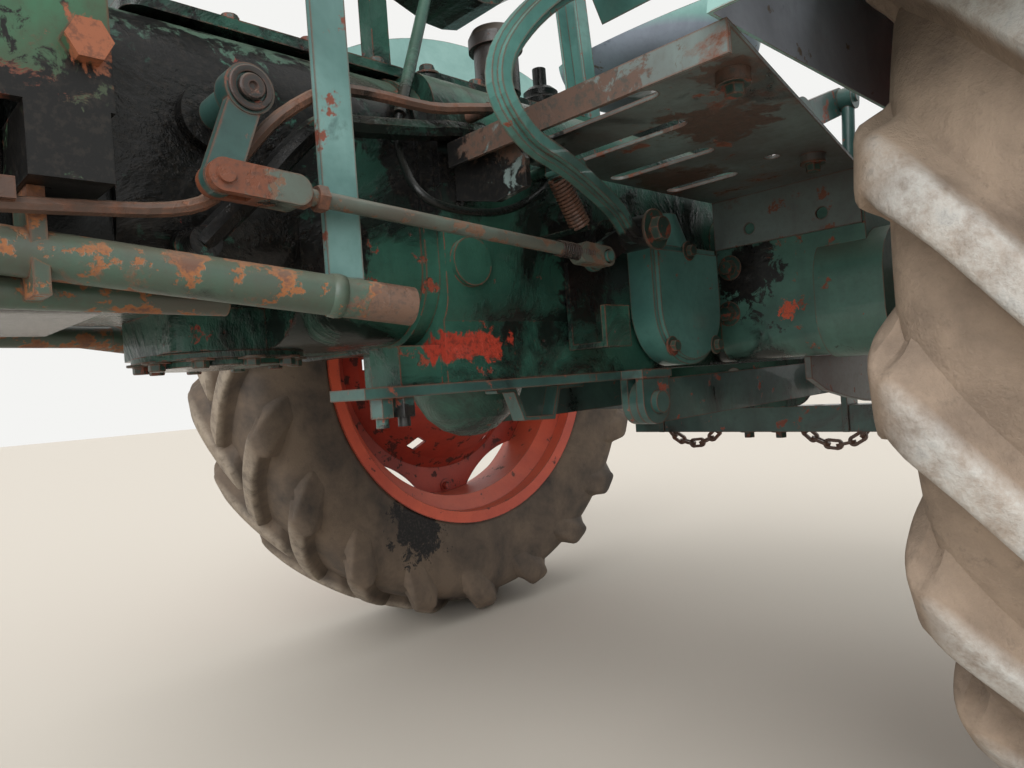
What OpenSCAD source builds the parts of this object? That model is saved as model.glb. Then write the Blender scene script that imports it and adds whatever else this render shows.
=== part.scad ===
// Rear transmission unit of a vintage tractor: clutch housing, gearbox,
// rear axle with both drive wheels, fenders, footplates, pan seat, clutch
// linkage and the rear hitch.
//
// The pieces are laid out from the rear axle: x runs forward, y to the left
// and z up from the ground. from_flange() then moves every piece, so that the
// origin of the part is the centre of the flange that meets the engine.

/* [Wheels] */
// Outer diameter of the rear tyres over the lugs
tyre_d = 1490; // [1440:5:1520]
// Width of the tyre over its sidewalls
tyre_w = 314; // [290:2:330]
// Height of the lugs above the tread
lug_h = 38; // [25:1:42]
// Number of lugs on each side of the tread
lug_count = 20; // [18:1:24]
// Width of a lug's top
lug_w = 46; // [36:1:54]
// How far a lug leans forward from the shoulder to the middle of the tread
lug_lean = 156; // [120:2:180]
// Diameter of the rim over its flanges
rim_d = 967; // [950:1:985]
// Width of the rim over its flanges
rim_w = 275; // [260:1:285]
// Distance between the middles of the two tyres
track_w = 1700; // [1680:5:1760]
// Diameter of the hub flange of each wheel
hub_d = 250; // [220:5:280]

/* [Casings] */
// Distance from the rear axle to the engine flange
flange_x = 1420; // [1400:5:1460]
// Height of the flange's centre above the ground
flange_z = 945; // [935:1:955]
// Diameter of the engine flange
flange_d = 452; // [440:2:470]
// Length of the bell behind the engine flange
bell_l = 115; // [100:1:125]
// Wall of the bell
bell_wall = 12; // [8:1:16]
// Width of the gearbox casing
gearbox_w = 400; // [380:2:410]
// Width of the rear casing
casing_w = 440; // [430:2:450]
// Place of the seam between gearbox and rear casing
seam_x = 840; // [825:1:855]
// Height of the top of both casings above the ground
casing_top = 1085; // [1075:1:1095]
// Height of the underside of the rear casing above the ground
casing_bottom = 671; // [660:1:680]
// Length of the rear casing behind the axle
casing_tail = 235; // [210:5:250]

/* [Axle] */
// Width of an axle housing where it meets the casing, seen from the side
axle_box_l = 330; // [300:5:350]
// Height of an axle housing where it meets the casing
axle_box_h = 270; // [250:5:290]
// Diameter of the axle housing's outer end
axle_end_d = 190; // [170:5:210]
// Width of a brake cover, seen from the side
brake_w = 190; // [170:2:200]
// How far a brake cover stands out from the casing
brake_out = 55; // [45:1:70]

/* [Footplates and fenders] */
// Height of the footplates' tread above the ground
step_z = 973; // [965:1:985]
// Thickness of the footplates
step_t = 5; // [4:0.5:8]
// Width of each slot in a footplate
slot_w = 30; // [20:1:40]
// Outer radius of a fender, from the axle
fender_r = 885; // [870:1:900]
// Thickness of the fender sheet
fender_t = 4; // [3:0.5:6]
// Width of a fender
fender_w = 400; // [360:5:420]

/* [Seat] */
// Radius of the pan seat
seat_r = 225; // [200:5:240]
// Wall of the pan seat
seat_t = 5; // [3:0.5:8]

/* [Clutch linkage] */
// Width of the clutch pedal's arm, seen from the side
pedal_w = 28; // [24:1:30]
// Diameter of the clutch rod
clutch_rod_d = 17; // [14:1:22]

/* [Hitch] */
// Height of the lower links' flat bars
link_h = 72; // [60:1:80]
// Thickness of the lower links' flat bars
link_t = 16; // [12:1:20]
// Diameter of the lower links' front pins
link_pin_d = 25; // [20:1:28]
// Diameter of the bores in the lower links' balls
ball_bore_d = 22.4; // [20:0.1:25]
// Thickness of the hitch plate
hitch_t = 14; // [10:1:18]
// Height of the cross bar
bar_h = 62; // [50:1:70]
// Diameter of the holes along the cross bar
bar_hole_d = 24; // [18:1:28]

/* [Frame tubes] */
// Diameter of the side tubes
tube_d = 42; // [36:1:46]
// Width of the flat bar that hangs the side tube
hanger_w = 42; // [36:1:50]
// Thickness of that flat bar
hanger_t = 8; // [6:1:10]

/* [Hidden] */

fit = 0.3;
run = 0.05;
axle_z = tyre_d / 2;
tyre_y = track_w / 2;
casing_y = casing_w / 2;
gearbox_y = gearbox_w / 2;
bell_x = flange_x - bell_l;
neck_x = 1217;
neck_z = 765;
green = [0.12, 0.30, 0.25];
light_green = [0.36, 0.55, 0.48];
orange = [0.70, 0.26, 0.14];
rust = [0.48, 0.28, 0.18];
black = [0.08, 0.08, 0.08];
rubber = [0.33, 0.30, 0.27];

// Moves a piece from the axle's frame to the engine flange's frame
module from_flange() {
  translate([-flange_x, 0, -flange_z]) children();
}

// The right-hand twin of a left-hand piece
module right_hand() {
  mirror([0, 1, 0]) children();
}

// Extrudes an outline drawn in y and z forward from x0 to x1
module along_x(x0, x1) {
  translate([x0, 0, 0]) rotate([90, 0, 90])
    linear_extrude(x1 - x0) children();
}

// Extrudes an outline drawn in x and z to the left from y0 to y1
module along_y(y0, y1) {
  translate([0, y1, 0]) rotate([90, 0, 0])
    linear_extrude(y1 - y0) children();
}

// Lays a round solid's own z axis along y
module across() {
  rotate([-90, 0, 0]) children();
}

// A cylinder across the tractor from y0 to y1 at x and z
module pin_y(x, z, y0, y1, r) {
  translate([x, y0, z]) across() cylinder(r = r, h = y1 - y0, $fn = 48);
}

// A round bar from one point to another
module rod(a, b, r) {
  v = b - a;
  translate(a) rotate([0, acos(v[2] / norm(v)), atan2(v[1], v[0])])
    cylinder(r = r, h = norm(v), $fn = 32);
}

// A point on the smooth curve through p1 and p2, whose neighbours are p0, p3
function curve_point(p0, p1, p2, p3, t) =
  0.5 * ((2 * p1) + (p2 - p0) * t + (2 * p0 - 5 * p1 + 4 * p2 - p3) * t * t
  + (3 * p1 - p0 - 3 * p2 + p3) * t * t * t);

// A smooth curve through all the points, with n steps between two of them
function smooth(p, n) = let (m = len(p) - 1) concat(
  [for (i = [0 : m - 1]) for (k = [0 : n - 1])
    curve_point(p[max(i - 1, 0)], p[i], p[i + 1], p[min(i + 2, m)], k / n)],
  [p[m]]);

function unit(v) = v / norm(v);

// Sweeps a section, given in the plane of the path and across it
module sweep(path, section) {
  m = len(path) - 1;
  s = len(section);
  points = [for (i = [0 : m])
    let (t = unit(path[min(i + 1, m)] - path[max(i - 1, 0)]),
      n = unit(cross([0, 1, 0], t)), b = cross(n, t))
    for (q = section) path[i] + q[0] * n + q[1] * b];
  faces = concat([[for (j = [s - 1 : -1 : 0]) j]],
    [for (i = [0 : m - 1]) for (j = [0 : s - 1]) let (k = (j + 1) % s)
      [i * s + j, i * s + k, (i + 1) * s + k, (i + 1) * s + j]],
    [[for (j = [0 : s - 1]) m * s + j]]);
  polyhedron(points = points, faces = faces, convexity = 10);
}

// A round section of radius r with the given number of sides
function ring(r, sides) =
  [for (j = [0 : sides - 1]) r * [cos(j * 360 / sides), sin(j * 360 / sides)]];

// A flat strip through a list of points in x and z, with round joints that
// stand a little proud, so that no arc is tangent to an edge
module strip(points, w, n = 32) {
  for (i = [0 : len(points) - 2]) {
    a = points[i];
    d = points[i + 1] - a;
    translate(a) rotate(atan2(d[1], d[0]))
      translate([0, -w / 2]) square([norm(d), w]);
    translate(a) circle(d = w + 0.6, $fn = n);
  }
  translate(points[len(points) - 1]) circle(d = w + 0.6, $fn = n);
}

// A rectangle with round corners, from its lowest to its highest corner
module round_box(a, b, r) {
  translate(a + [r, 0]) square([b[0] - a[0] - 2 * r, b[1] - a[1]]);
  translate(a + [0, r]) square([b[0] - a[0], b[1] - a[1] - 2 * r]);
  for (x = [a[0] + r, b[0] - r], z = [a[1] + r, b[1] - r])
    translate([x, z]) circle(r = r, $fn = 48);
}

// A hexagonal bolt head of size across flats and thickness, along z
module hex_head(flats, h) {
  cylinder(d = flats / cos(30), h = h, $fn = 6);
}

// Clutch housing

bell_bolts = 12;
bell_bolt_d = 13;
bell_pcd = flange_d - 30;
bell_open_r = flange_d / 2 - 34;

module clutch_housing() {
  color(green) from_flange() difference() {
    union() {
      translate([bell_x, 0, flange_z]) rotate([0, 90, 0]) {
        cylinder(r1 = flange_d / 2 - 26, r2 = flange_d / 2 - 12,
          h = bell_l, $fn = 96);
        translate([0, 0, bell_l - 18])
          cylinder(d = flange_d, h = 18, $fn = 96);
      }
      along_x(neck_x, bell_x + 20)
        round_box([-gearbox_y + 12, neck_z], [gearbox_y - 12, casing_top + 15], 70);
    }
    translate([bell_x + bell_wall, 0, flange_z]) rotate([0, 90, 0])
      cylinder(r = bell_open_r, h = bell_l, $fn = 96);
    for (k = [0 : bell_bolts - 1])
      translate([flange_x - 30, 0, flange_z]) rotate([0, 90, 0])
        rotate(k * 360 / bell_bolts + 15) translate([bell_pcd / 2, 0, -1])
          cylinder(d = bell_bolt_d, h = 40, $fn = 24);
    translate([bell_x - 60, 0, flange_z]) rotate([0, 90, 0])
      cylinder(r = shaft_r + fit, h = 100, $fn = 48);
    along_y(gearbox_y - 40, gearbox_y + 60)
      round_box([neck_x + 22, 910], [bell_x - 12, 1010], 30);
  }
}

shaft_r = 16;
module input_shaft() {
  color("silver") from_flange() {
    translate([bell_x - 55, 0, flange_z]) rotate([0, 90, 0]) {
      cylinder(r = shaft_r, h = bell_l + 70, $fn = 48);
      for (k = [0 : 9]) rotate(k * 36)
        translate([shaft_r - 1, -2.4, bell_l - 10]) cube([3.2, 4.8, 60]);
    }
    translate([bell_x + bell_wall + fit, 0, flange_z]) rotate([0, 90, 0])
      difference() {
        cylinder(r = 34, h = 30, $fn = 48);
        translate([0, 0, -1]) cylinder(r = shaft_r - 1, h = 40, $fn = 48);
      }
  }
}

// Gearbox casing and sump

sump_x = 1047;
sump_r = 104;
sump_z0 = 711;
gearbox_z0 = 727;
belly_x1 = 1030;

module gearbox_casing() {
  color(green) from_flange() {
    along_x(seam_x + fit, belly_x1)
      round_box([-gearbox_y, gearbox_z0], [gearbox_y, casing_top], 95);
    along_x(belly_x1 - 1, neck_x - fit)
      round_box([-gearbox_y, gearbox_z0 + 50], [gearbox_y, casing_top], 95);
    along_x(seam_x + fit, seam_x + 22)
      round_box([-gearbox_y - 8, gearbox_z0 - 6], [gearbox_y + 8, casing_top], 95);
    translate([0, 0, gearbox_z0]) linear_extrude(120)
      round_box([sump_x - sump_r + 15, -100], [sump_x + 91, 100], 20);
    pin_y(clutch_pivot[0], clutch_pivot[1], gearbox_y - 20, gearbox_y + 18, 34);
    pin_y(1148, 824, 150, 205, 20);
  }
}

module gearbox_sump() {
  color(green) from_flange() {
    translate([sump_x, 0, gearbox_z0 - 8]) cylinder(r = sump_r, h = 8 - fit, $fn = 72);
    translate([sump_x, 0, sump_z0]) cylinder(r = sump_r - 22, h = 10, $fn = 72);
  }
}

// Rear casing, its cover and the power take-off shaft

foot_x0 = 700;
foot_x1 = 905;
foot_y = 130;
pto_z = 640;
pto_r = 17.4;

module rear_casing() {
  color(green) from_flange() {
    along_x(-casing_tail, seam_x)
      round_box([-casing_y, casing_bottom + 56], [casing_y, casing_top], 60);
    along_x(-casing_tail, foot_x0)
      translate([-casing_y + 12, casing_bottom])
        square([casing_w - 24, 200]);
    along_x(foot_x0 - 1, seam_x)
      translate([foot_y, casing_bottom]) square([casing_y - 12 - foot_y, 200]);
    along_x(seam_x - 1, foot_x1)
      translate([foot_y, casing_bottom])
        square([gearbox_y - 4 - foot_y, gearbox_z0 - 6 - fit - casing_bottom]);
    along_y(-casing_y - 12, casing_y + 12)
      round_box([axle_front - axle_box_l, casing_bottom + 3],
        [axle_front, casing_bottom + 3 + axle_box_h], 40);
    pin_y(plug_x, plug_z, casing_y - 10, casing_y + 8, 32);
  }
}
plug_x = 800;
plug_z = 827;

module rear_cover() {
  cover_x = -casing_tail - fit;
  color(green) from_flange() difference() {
    union() {
      along_x(cover_x - 16, cover_x)
        round_box([-190, 560], [190, casing_top - 20], 50);
      translate([cover_x - 70, 0, pto_z]) rotate([0, 90, 0])
        cylinder(r = 62, h = 60, $fn = 64);
      translate([cover_x - 40, 0, 880]) rotate([0, 90, 0])
        cylinder(r = 110, h = 30, $fn = 64);
      for (y = [-92, 76]) translate([cover_x - 90, y, 618]) cube([80, 16, 16]);
    }
    translate([cover_x - 100, 0, pto_z]) rotate([0, 90, 0])
      cylinder(r = pto_r + 3 + run, h = 120, $fn = 64);
  }
}

module pto_shaft() {
  color("silver") from_flange()
    translate([-casing_tail - 168, 0, pto_z]) rotate([0, 90, 0]) {
      cylinder(r = pto_r, h = 95, $fn = 64);
      translate([0, 0, 94]) cylinder(r = pto_r + 3, h = 73, $fn = 64);
    }
}

bowl_x = 655;
bowl_y = 25;
bowl_r = 92;
bowl_h = 86;

module drain_bowl() {
  color(green) from_flange() translate([bowl_x, bowl_y, casing_bottom - fit])
    rotate_extrude($fn = 72) polygon([[0, 0], [bowl_r, 0], [bowl_r, -10],
      [bowl_r - 8, -30], [bowl_r - 24, -56], [bowl_r - 48, -76], [20, -bowl_h], [0, -bowl_h]]);
}

// Covers on top

cap_x = 627;
cap_y = 120;
cap_z = 1204;
tower_x = 400;
lid_t = 14;

module top_cover() {
  z1 = casing_top + fit;
  color(green) from_flange() {
    translate([0, 0, z1]) linear_extrude(lid_t)
      round_box([350, -160], [812, 165], 30);
    translate([tower_x, 0, z1 + 5]) cylinder(r1 = 58, r2 = 44, h = 75, $fn = 48);
    translate([cap_x, cap_y, z1 + 5]) cylinder(r = 30, h = 25, $fn = 48);
  }
}

module filler_cap() {
  base = casing_top + 30 + 2 * fit;
  color(rust) from_flange() translate([cap_x, cap_y, 0]) {
    translate([0, 0, base]) cylinder(r = 35, h = cap_z - 20 - base, $fn = 48);
    translate([0, 0, cap_z - 20]) rotate_extrude($fn = 64)
      polygon([[0, 0], [42.5, 0], [42.5, 18], [36, 30], [22, 37], [0, 40]]);
  }
}

module gear_lever() {
  color(black) from_flange() translate([tower_x, 0, casing_top + 80 + 2 * fit]) {
    rotate_extrude($fn = 48) polygon([[0, 0], [44, 0], [44, 8], [38, 14], [40, 24],
      [32, 32], [33, 42], [24, 50], [0, 52]]);
    cylinder(r = 13, h = 88, $fn = 32);
  }
}

lift_x0 = -215;
lift_x1 = 170;
lift_shaft_x = -110;
lift_shaft_z = 1175;
lift_shaft_r = 27;

module lift_housing() {
  color(green) from_flange() difference() {
    union() {
      along_x(lift_x0, lift_x1)
        round_box([-150, casing_top + fit], [150, 1215], 28);
      translate([0, 0, casing_top + fit]) linear_extrude(20)
        round_box([lift_x0 - 10, -175], [lift_x1 + 20, 175], 24);
      pin_y(lift_shaft_x, lift_shaft_z, -190, 190, 46);
    }
    pin_y(lift_shaft_x, lift_shaft_z, -250, 250, lift_shaft_r + run);
  }
}

module steering_pedestal() {
  color(green) from_flange() {
    translate([0, 0, casing_top + fit]) linear_extrude(14)
      round_box([818, -140], [1180, 150], 20);
    translate([830, 92, casing_top + 5]) cube([28, 28, console_z + 20 - casing_top]);
    translate([1120, -80, casing_top + 5]) cube([40, 160, console_top - casing_top]);
    along_y(60, 160) polygon([[500, 1338], [528, 1322], [612, 1270], [652, 1235],
      [683, 1228], [714, console_z], [792, console_z + 24], [862, console_z + 44],
      [900, console_top + 10], [900, console_top + 70], [500, console_top + 70]]);
    translate([890, -170, console_top]) cube([350, 340, 70]);
    rod(rod_top, cable_route[0] - rod_gap * unit(cable_route[0] - rod_top), 8);
  }
}
rod_top = [759, 139, 1265];
rod_gap = 1.4;
console_z = 1229;
console_top = 1330;

// Rear axle housings and brake covers

module axle_tube() {
  box_z0 = casing_bottom + 3;
  color(green) from_flange() difference() {
    union() {
      along_y(casing_y + 12 + fit, drum_y)
        round_box([-axle_box_l + axle_front, box_z0], [axle_front, box_z0 + axle_box_h], 40);
      along_y(drum_y - 80, drum_y + 30)
        round_box([-axle_box_l + axle_front - 12, box_z0 - 6],
          [axle_front + 24, step_z - step_t - flap_h - 4], 80);
      translate([0, drum_y + 20, axle_z]) across()
        cylinder(r1 = 76, r2 = axle_end_d / 2, h = hub_y - drum_y - 60, $fn = 64);
      pin_y(0, axle_z, hub_y - 50, hub_y - 2, axle_end_d / 2);
      translate([-60, fender_in - 10 - fit, axle_z + 30]) cube([120, 10, 250]);
    }
    pin_y(0, axle_z, hub_y - 60, hub_y + 10, axle_r + run);
  }
}
drum_y = 500;
hub_y = tyre_y - 165;
axle_r = 40;

brake_x = 365;
brake_z = casing_bottom + 3 + brake_w / 2;
brake_top = 930;

module brake_cover() {
  color(green) from_flange() {
    along_y(casing_y + fit, casing_y + brake_out - 8) {
      translate([brake_x, brake_z]) circle(d = brake_w, $fn = 96);
      translate([brake_x - brake_w / 2, brake_z])
        square([brake_w, brake_top - 60 - brake_z]);
    }
    along_y(casing_y + brake_out - 9, casing_y + brake_out) {
      translate([brake_x, brake_z]) circle(d = brake_w - 16, $fn = 96);
      translate([brake_x - brake_w / 2 + 8, brake_z])
        square([brake_w - 16, brake_top - 70 - brake_z]);
    }
    translate([brake_x, casing_y + fit, brake_top - 61]) intersection() {
      cylinder(r1 = brake_out - 6, r2 = 30, h = 61, $fn = 48);
      translate([-100, 0, 0]) cube([200, 100, 80]);
    }
  }
}

// Footplates with their slots and hanging brackets

step_x0 = 205;
step_x1 = 835;
flap_h = 88;
step_in = casing_y + 14;
axle_front = step_x0 - fit;
step_out_front = 628;
step_out_rear = 497;
slot_x = [366, 516, 646, 757];
slot_end = 240;
slot_slant = 0.32;

module footplate() {
  z0 = step_z - step_t;
  color(green) from_flange() {
    translate([0, 0, z0]) linear_extrude(step_t) difference() {
      polygon([[step_x0, step_in], [step_x1, step_in],
        [step_x1, step_out_front], [step_x0, step_out_rear]]);
      for (x = slot_x)
        round_slot([x, step_in + 26], [x, slot_end + slot_slant * x], slot_w);
      translate([395, 446]) circle(d = 22, $fn = 32);
    }
    translate([step_x1 - step_t, step_in, z0 - 26])
      cube([step_t, step_out_front - step_in, 27]);
    translate([step_x0, step_in, z0 - flap_h]) difference() {
      cube([step_t, step_out_rear - step_in, flap_h + 1]);
      for (y = [70, 200]) translate([-5, y, 28]) rotate([0, 90, 0])
        cylinder(d = 20, h = 20, $fn = 32);
    }
    translate([806, casing_y + fit, 0]) rotate([90, 0, 90]) linear_extrude(8)
      polygon([[0, 906], [0, z0 - 1], [100, z0 - 1], [128, z0 - 40], [128, 895], [75, 888]]);
    translate([800, casing_y + fit, 910]) cube([14, 8, 45]);
    for (p = [[731, 574], [348, 485]])
      translate([p[0], p[1], z0 - 12]) cylinder(d = 36, h = 13, $fn = 32);
  }
}

// A slot with round ends between two points
module round_slot(a, b, w) {
  for (p = [a, b]) translate(p) circle(d = w, $fn = 32);
  translate(a - [w / 2, 0]) square([w, b[1] - a[1]]);
}

fender_in = tyre_y - 230;

module fender() {
  color(light_green) from_flange() {
    along_y(fender_in, fender_in + fender_w) difference() {
      fender_outline(fender_r);
      fender_outline(fender_r - fender_t);
      translate([-2000, -3000 + step_z + fit]) square([4000, 3000]);
    }
    along_y(fender_in, fender_in + fender_t) difference() {
      fender_outline(fender_r - 1);
      translate([-2000, -3000 + step_z + fit]) square([4000, 3000]);
    }
  }
}

module fender_outline(r) {
  translate([0, axle_z]) circle(r = r, $fn = 144);
}

// Pan seat

seat_z = 1300;
seat_tilt = 24;

module seat_pan() {
  color(light_green) from_flange() translate([0, 0, seat_z]) difference() {
    rotate_extrude($fn = 96) difference() {
      seat_section(seat_r, 0);
      seat_section(seat_r - seat_t, seat_t);
    }
    translate([seat_r, -400, 45]) rotate([0, seat_tilt, 0])
      translate([-1000, 0, 0]) cube([1200, 800, 600]);
  }
}

// Half of the pan's section: a flat floor with a round wall
module seat_section(r, rise) {
  translate([0, rise]) square([r - 90, 90]);
  intersection() {
    translate([r - 90, 90 + rise]) circle(r = 90, $fn = 64);
    translate([0, rise]) square([r, 91]);
  }
  translate([0, rise + 90]) square([r, 300]);
}

module seat_support() {
  lean = atan2(30, 330);
  color(green) from_flange() {
    translate([0, 0, seat_z - 12 - fit]) linear_extrude(12)
      round_box([-70, -45], [70, 45], 10);
    along_y(-24, 24) strip([[40, seat_z - 8], [265, 1250]], 14);
    translate([0, 0, casing_top + fit]) linear_extrude(14)
      round_box([200, -60], [330, 60], 10);
    translate([265, 0, casing_top + 10]) rotate([0, lean, 0]) difference() {
      translate([-16, -27, 0]) cube([32, 54, 330]);
      translate([-10, -21, -10]) cube([40, 42, 360]);
    }
  }
}

// Hitch plate, link brackets, sway plates

link_pivot = [439, 617];
link_y = 222;
hitch_x0 = 380;
hitch_x1 = 967;

module hitch_plate() {
  z1 = casing_bottom - fit;
  color(green) from_flange() {
    translate([0, 0, z1 - hitch_t]) linear_extrude(hitch_t)
      polygon([[hitch_x0, foot_y], [hitch_x1, foot_y], [hitch_x1, 210],
        [link_pivot[0] + 46, 210], [link_pivot[0] + 40, link_y + 26],
        [link_pivot[0] - 40, link_y + 26], [link_pivot[0] - 46, 210], [hitch_x0, 210]]);
    translate([0, 0, z1 - hitch_t]) linear_extrude(hitch_t)
      polygon([[hitch_x0, -foot_y], [600, -foot_y], [600, -210],
        [link_pivot[0] + 46, -210], [link_pivot[0] + 40, -link_y - 26],
        [link_pivot[0] - 40, -link_y - 26], [link_pivot[0] - 46, -210], [hitch_x0, -210]]);
    for (x = [900, 932])
      translate([x, 190, z1 - hitch_t - 36]) {
        translate([0, 0, 12]) hex_head(27, 25);
        cylinder(r = 8, h = 14, $fn = 24);
      }
    along_y(140, 166) strip([[715, z1 - hitch_t - 3], [682, z1 - hitch_t - 3], [664, 610],
      [602, 607], [586, z1 - hitch_t - 4], [530, z1 - hitch_t - 3]], 6);
  }
}

module link_brackets() {
  z1 = casing_bottom - hitch_t - 2 * fit;
  x0 = link_pivot[0] - 36;
  color(green) from_flange() for (s = [-1, 1]) scale([1, s, 1]) {
    for (y = [link_y - link_t / 2 - 14 - fit, link_y + link_t / 2 + fit]) {
      translate([x0, y, link_pivot[1]]) cube([72, 14, z1 - link_pivot[1]]);
      pin_y(link_pivot[0], link_pivot[1], y, y + 14, 36);
    }
    pin_y(link_pivot[0], link_pivot[1], link_y - link_t / 2 - 20,
      link_y + link_t / 2 + 16, link_pin_d / 2);
    pin_y(link_pivot[0], link_pivot[1], link_y + link_t / 2 + 14, link_y + link_t / 2 + 26, 18);
  }
}

sway_y = 360;
module sway_plates() {
  top = casing_bottom + 3 - fit;
  color(green) from_flange() for (s = [-1, 1]) scale([1, s, 1])
    along_y(sway_y, sway_y + 12)
      polygon([[150, top], [150, 634], [91, 610], [0, 592], [-103, 577], [-330, 560],
        [-330, 620], [-110, top]]);
}

// Side plates and tubes of the frame

module side_plates() {
  y0 = gearbox_y - 12 + fit;
  x1 = bell_x - 2;
  color(green) from_flange() for (s = [-1, 1]) scale([1, s, 1]) {
    translate([1236, 270, 916]) cube([170, 12, 165]);
    translate([1256, 281, 969]) across() hex_head(32, 17);
    translate([1240, y0, 856]) cube([x1 - 1240, 282 - y0, 61]);
    translate([1240, y0, 1030]) cube([x1 - 1240, 271 - y0, 30]);
  }
}

module side_tubes() {
  color(green) from_flange() for (s = [-1, 1]) scale([1, s, 1]) {
    rod([956, 298, 756], [1388, 214, 815], tube_d / 2);
    rod([1120, 200, 770], [1388, 200, 776], 15);
    translate([1286, 192, 765]) cube([13, 60, 856 - fit - 765]);
  }
}

module tube_hangers() {
  color(green) from_flange() for (s = [-1, 1]) scale([1, s, 1]) {
    translate([1020 - hanger_w / 2, hanger_y, 787])
      cube([hanger_w, hanger_t, console_top - fit - 787]);
    translate([1020 - hanger_w / 2, 120, console_top - 8 - fit])
      cube([hanger_w, hanger_y - 119, 8]);
  }
}
hanger_y = 268;

// Line of the control cable, from its rod to its clip on the casing
cable_route = [[890, 212, 1005], [894, 213, 992], [896, 214, 978], [904, 227, 953],
  [923, 262, 920], [928, 287, 890], [905, 297, 873], [840, 292, 872], [765, 275, 890],
  [690, 252, 926], [668, 245, 944]];
cable_end = cable_route[len(cable_route) - 1];

// Pedals, their brackets and the clutch linkage

pedal_pivot = [530, 873];
pedal_y = 298;
pedal_pin_r = 12;
clutch_pivot = [1123, 957];
rod_front = [1156, 870];
rod_rear = [611, 833];
rod_y = 292;
rod_pin_r = 8;

spring_a = [712, 306, 930];
spring_b = [672, 306, 868];
module pedal_brackets() {
  color(green) from_flange() for (s = [-1, 1]) scale([1, s, 1]) {
    pin_y(pedal_pivot[0], pedal_pivot[1], casing_y + fit, casing_y + 20, 32);
    pin_y(pedal_pivot[0], pedal_pivot[1], casing_y + 19, pedal_y + 40, pedal_pin_r);
    if (s > 0) {
      pin_y(spring_b[0], spring_b[2] - 3.2, casing_y + fit, spring_b[1] + 16, 4);
      pin_y(cable_end[0], cable_end[2] + 13.1, casing_y + fit, cable_end[1] + 8, 9);
      translate([560, casing_y + fit, 706]) cube([56, 8, 130]);
      translate([560, casing_y + fit, 706]) cube([56, 72, 8]);
      translate([560, casing_y + 64, 706]) cube([56, 8, 60]);
    }
  }
}

// Centre line of a pedal's arm, from its hub to its pad
pedal_line = [[530, 298, 873], [571, 310, 868], [619, 325, 892], [694, 345, 912],
  [788, 380, 920], [860, 405, 923], [903, 420, 938], [917, 420, 965],
  [909, 420, 998], [878, 420, 1037], [834, 420, 1076], [780, 420, 1112], [712, 420, 1152]];

module pedal() {
  difference() {
    union() {
      sweep(smooth(pedal_line, 3), pedal_w / 2 * [[-1, -0.4], [-0.5, -0.4],
        [-0.5, -0.9], [0.5, -0.9], [0.5, -0.4], [1, -0.4], [1, 0.4], [0.5, 0.4],
        [0.5, 0.9], [-0.5, 0.9], [-0.5, 0.4], [-1, 0.4]]);
      pin_y(pedal_pivot[0], pedal_pivot[1], pedal_y - 30, pedal_y + 26, 25);
      translate([715, 420, 1151]) rotate([0, -58, 0])
        translate([-52, -42, 0]) cube([104, 84, 12]);
    }
    pin_y(pedal_pivot[0], pedal_pivot[1], 200, 400, pedal_pin_r + run);
  }
}

module clutch_pedal() {
  color(green) from_flange() {
    pedal();
    difference() {
      along_y(pedal_y - 30, pedal_y - 20) strip([pedal_pivot, rod_rear], 34);
      pin_y(pedal_pivot[0], pedal_pivot[1], 200, 400, pedal_pin_r + run);
    }
    pin_y(rod_rear[0], rod_rear[1], pedal_y - 22, pedal_y + 8, rod_pin_r);
    pin_y(spring_a[0] + 2, spring_a[2] + 5.2, spring_a[1] - 16, 350, 4);
    along_y(340, 352) strip([[704, 912], [spring_a[0] + 2, spring_a[2] + 5.2]], 12);
  }
}

module brake_pedals() {
  color(green) from_flange() right_hand() pedal();
}

module clutch_lever() {
  color(green) from_flange() difference() {
    union() {
      pin_y(clutch_pivot[0], clutch_pivot[1], gearbox_y + 18 + fit, rod_y, 17);
      pin_y(clutch_pivot[0], clutch_pivot[1], rod_y - 18, rod_y + 7, 24);
      along_y(rod_y - 6, rod_y + 6) strip([clutch_pivot, rod_front], 32);
    }
    pin_y(rod_front[0], rod_front[1], 200, 400, rod_pin_r + run);
  }
}

module clutch_rod() {
  slope = (rod_front[1] - rod_rear[1]) / (rod_front[0] - rod_rear[0]);
  color(rust) from_flange() {
    rod([rod_front[0] - 62, rod_y, rod_front[1] - 62 * slope],
      [rod_rear[0] + 30, rod_y, rod_rear[1] + 30 * slope], clutch_rod_d / 2);
    difference() {
      along_y(rod_y - 16, rod_y + 16) strip([rod_front, rod_front - 70 * [1, slope]], 30);
      translate([rod_front[0] - 27, rod_y - 6 - fit, rod_front[1] - 40])
        cube([80, 12 + 2 * fit, 80]);
    }
    pin_y(rod_front[0], rod_front[1], rod_y - 15, rod_y + 20, rod_pin_r);
    difference() {
      along_y(pedal_y - 20 + fit, rod_y + 10) strip([rod_rear, rod_rear + 44 * [1, slope]], 28);
      pin_y(rod_rear[0], rod_rear[1], 200, 400, rod_pin_r + 2);
    }
  }
}

spring_turns = 14;
module pedal_spring() {
  v = spring_b - spring_a;
  n = spring_turns * 12;
  color(rust) from_flange() translate(spring_a)
    rotate([0, acos(v[2] / norm(v)), atan2(v[1], v[0])])
      coil(13, 2.2, norm(v), spring_turns, 12);
}

// A helical wire of radius w, wound at radius r along h
module coil(r, w, h, turns, steps) {
  n = turns * steps;
  sides = 6;
  pts = [for (i = [0 : n]) for (j = [0 : sides - 1])
    let (a = i * 360 / steps, b = j * 360 / sides, q = r + w * cos(b))
      [q * cos(a), q * sin(a), w + (h - 2 * w) * i / n + w * sin(b)]];
  faces = concat([[for (j = [sides - 1 : -1 : 0]) j]],
    [for (i = [0 : n - 1]) for (j = [0 : sides - 1])
      let (k = (j + 1) % sides)
        [i * sides + j, i * sides + k, (i + 1) * sides + k, (i + 1) * sides + j]],
    [[for (j = [0 : sides - 1]) n * sides + j]]);
  polyhedron(points = pts, faces = faces, convexity = 10);
}

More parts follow.
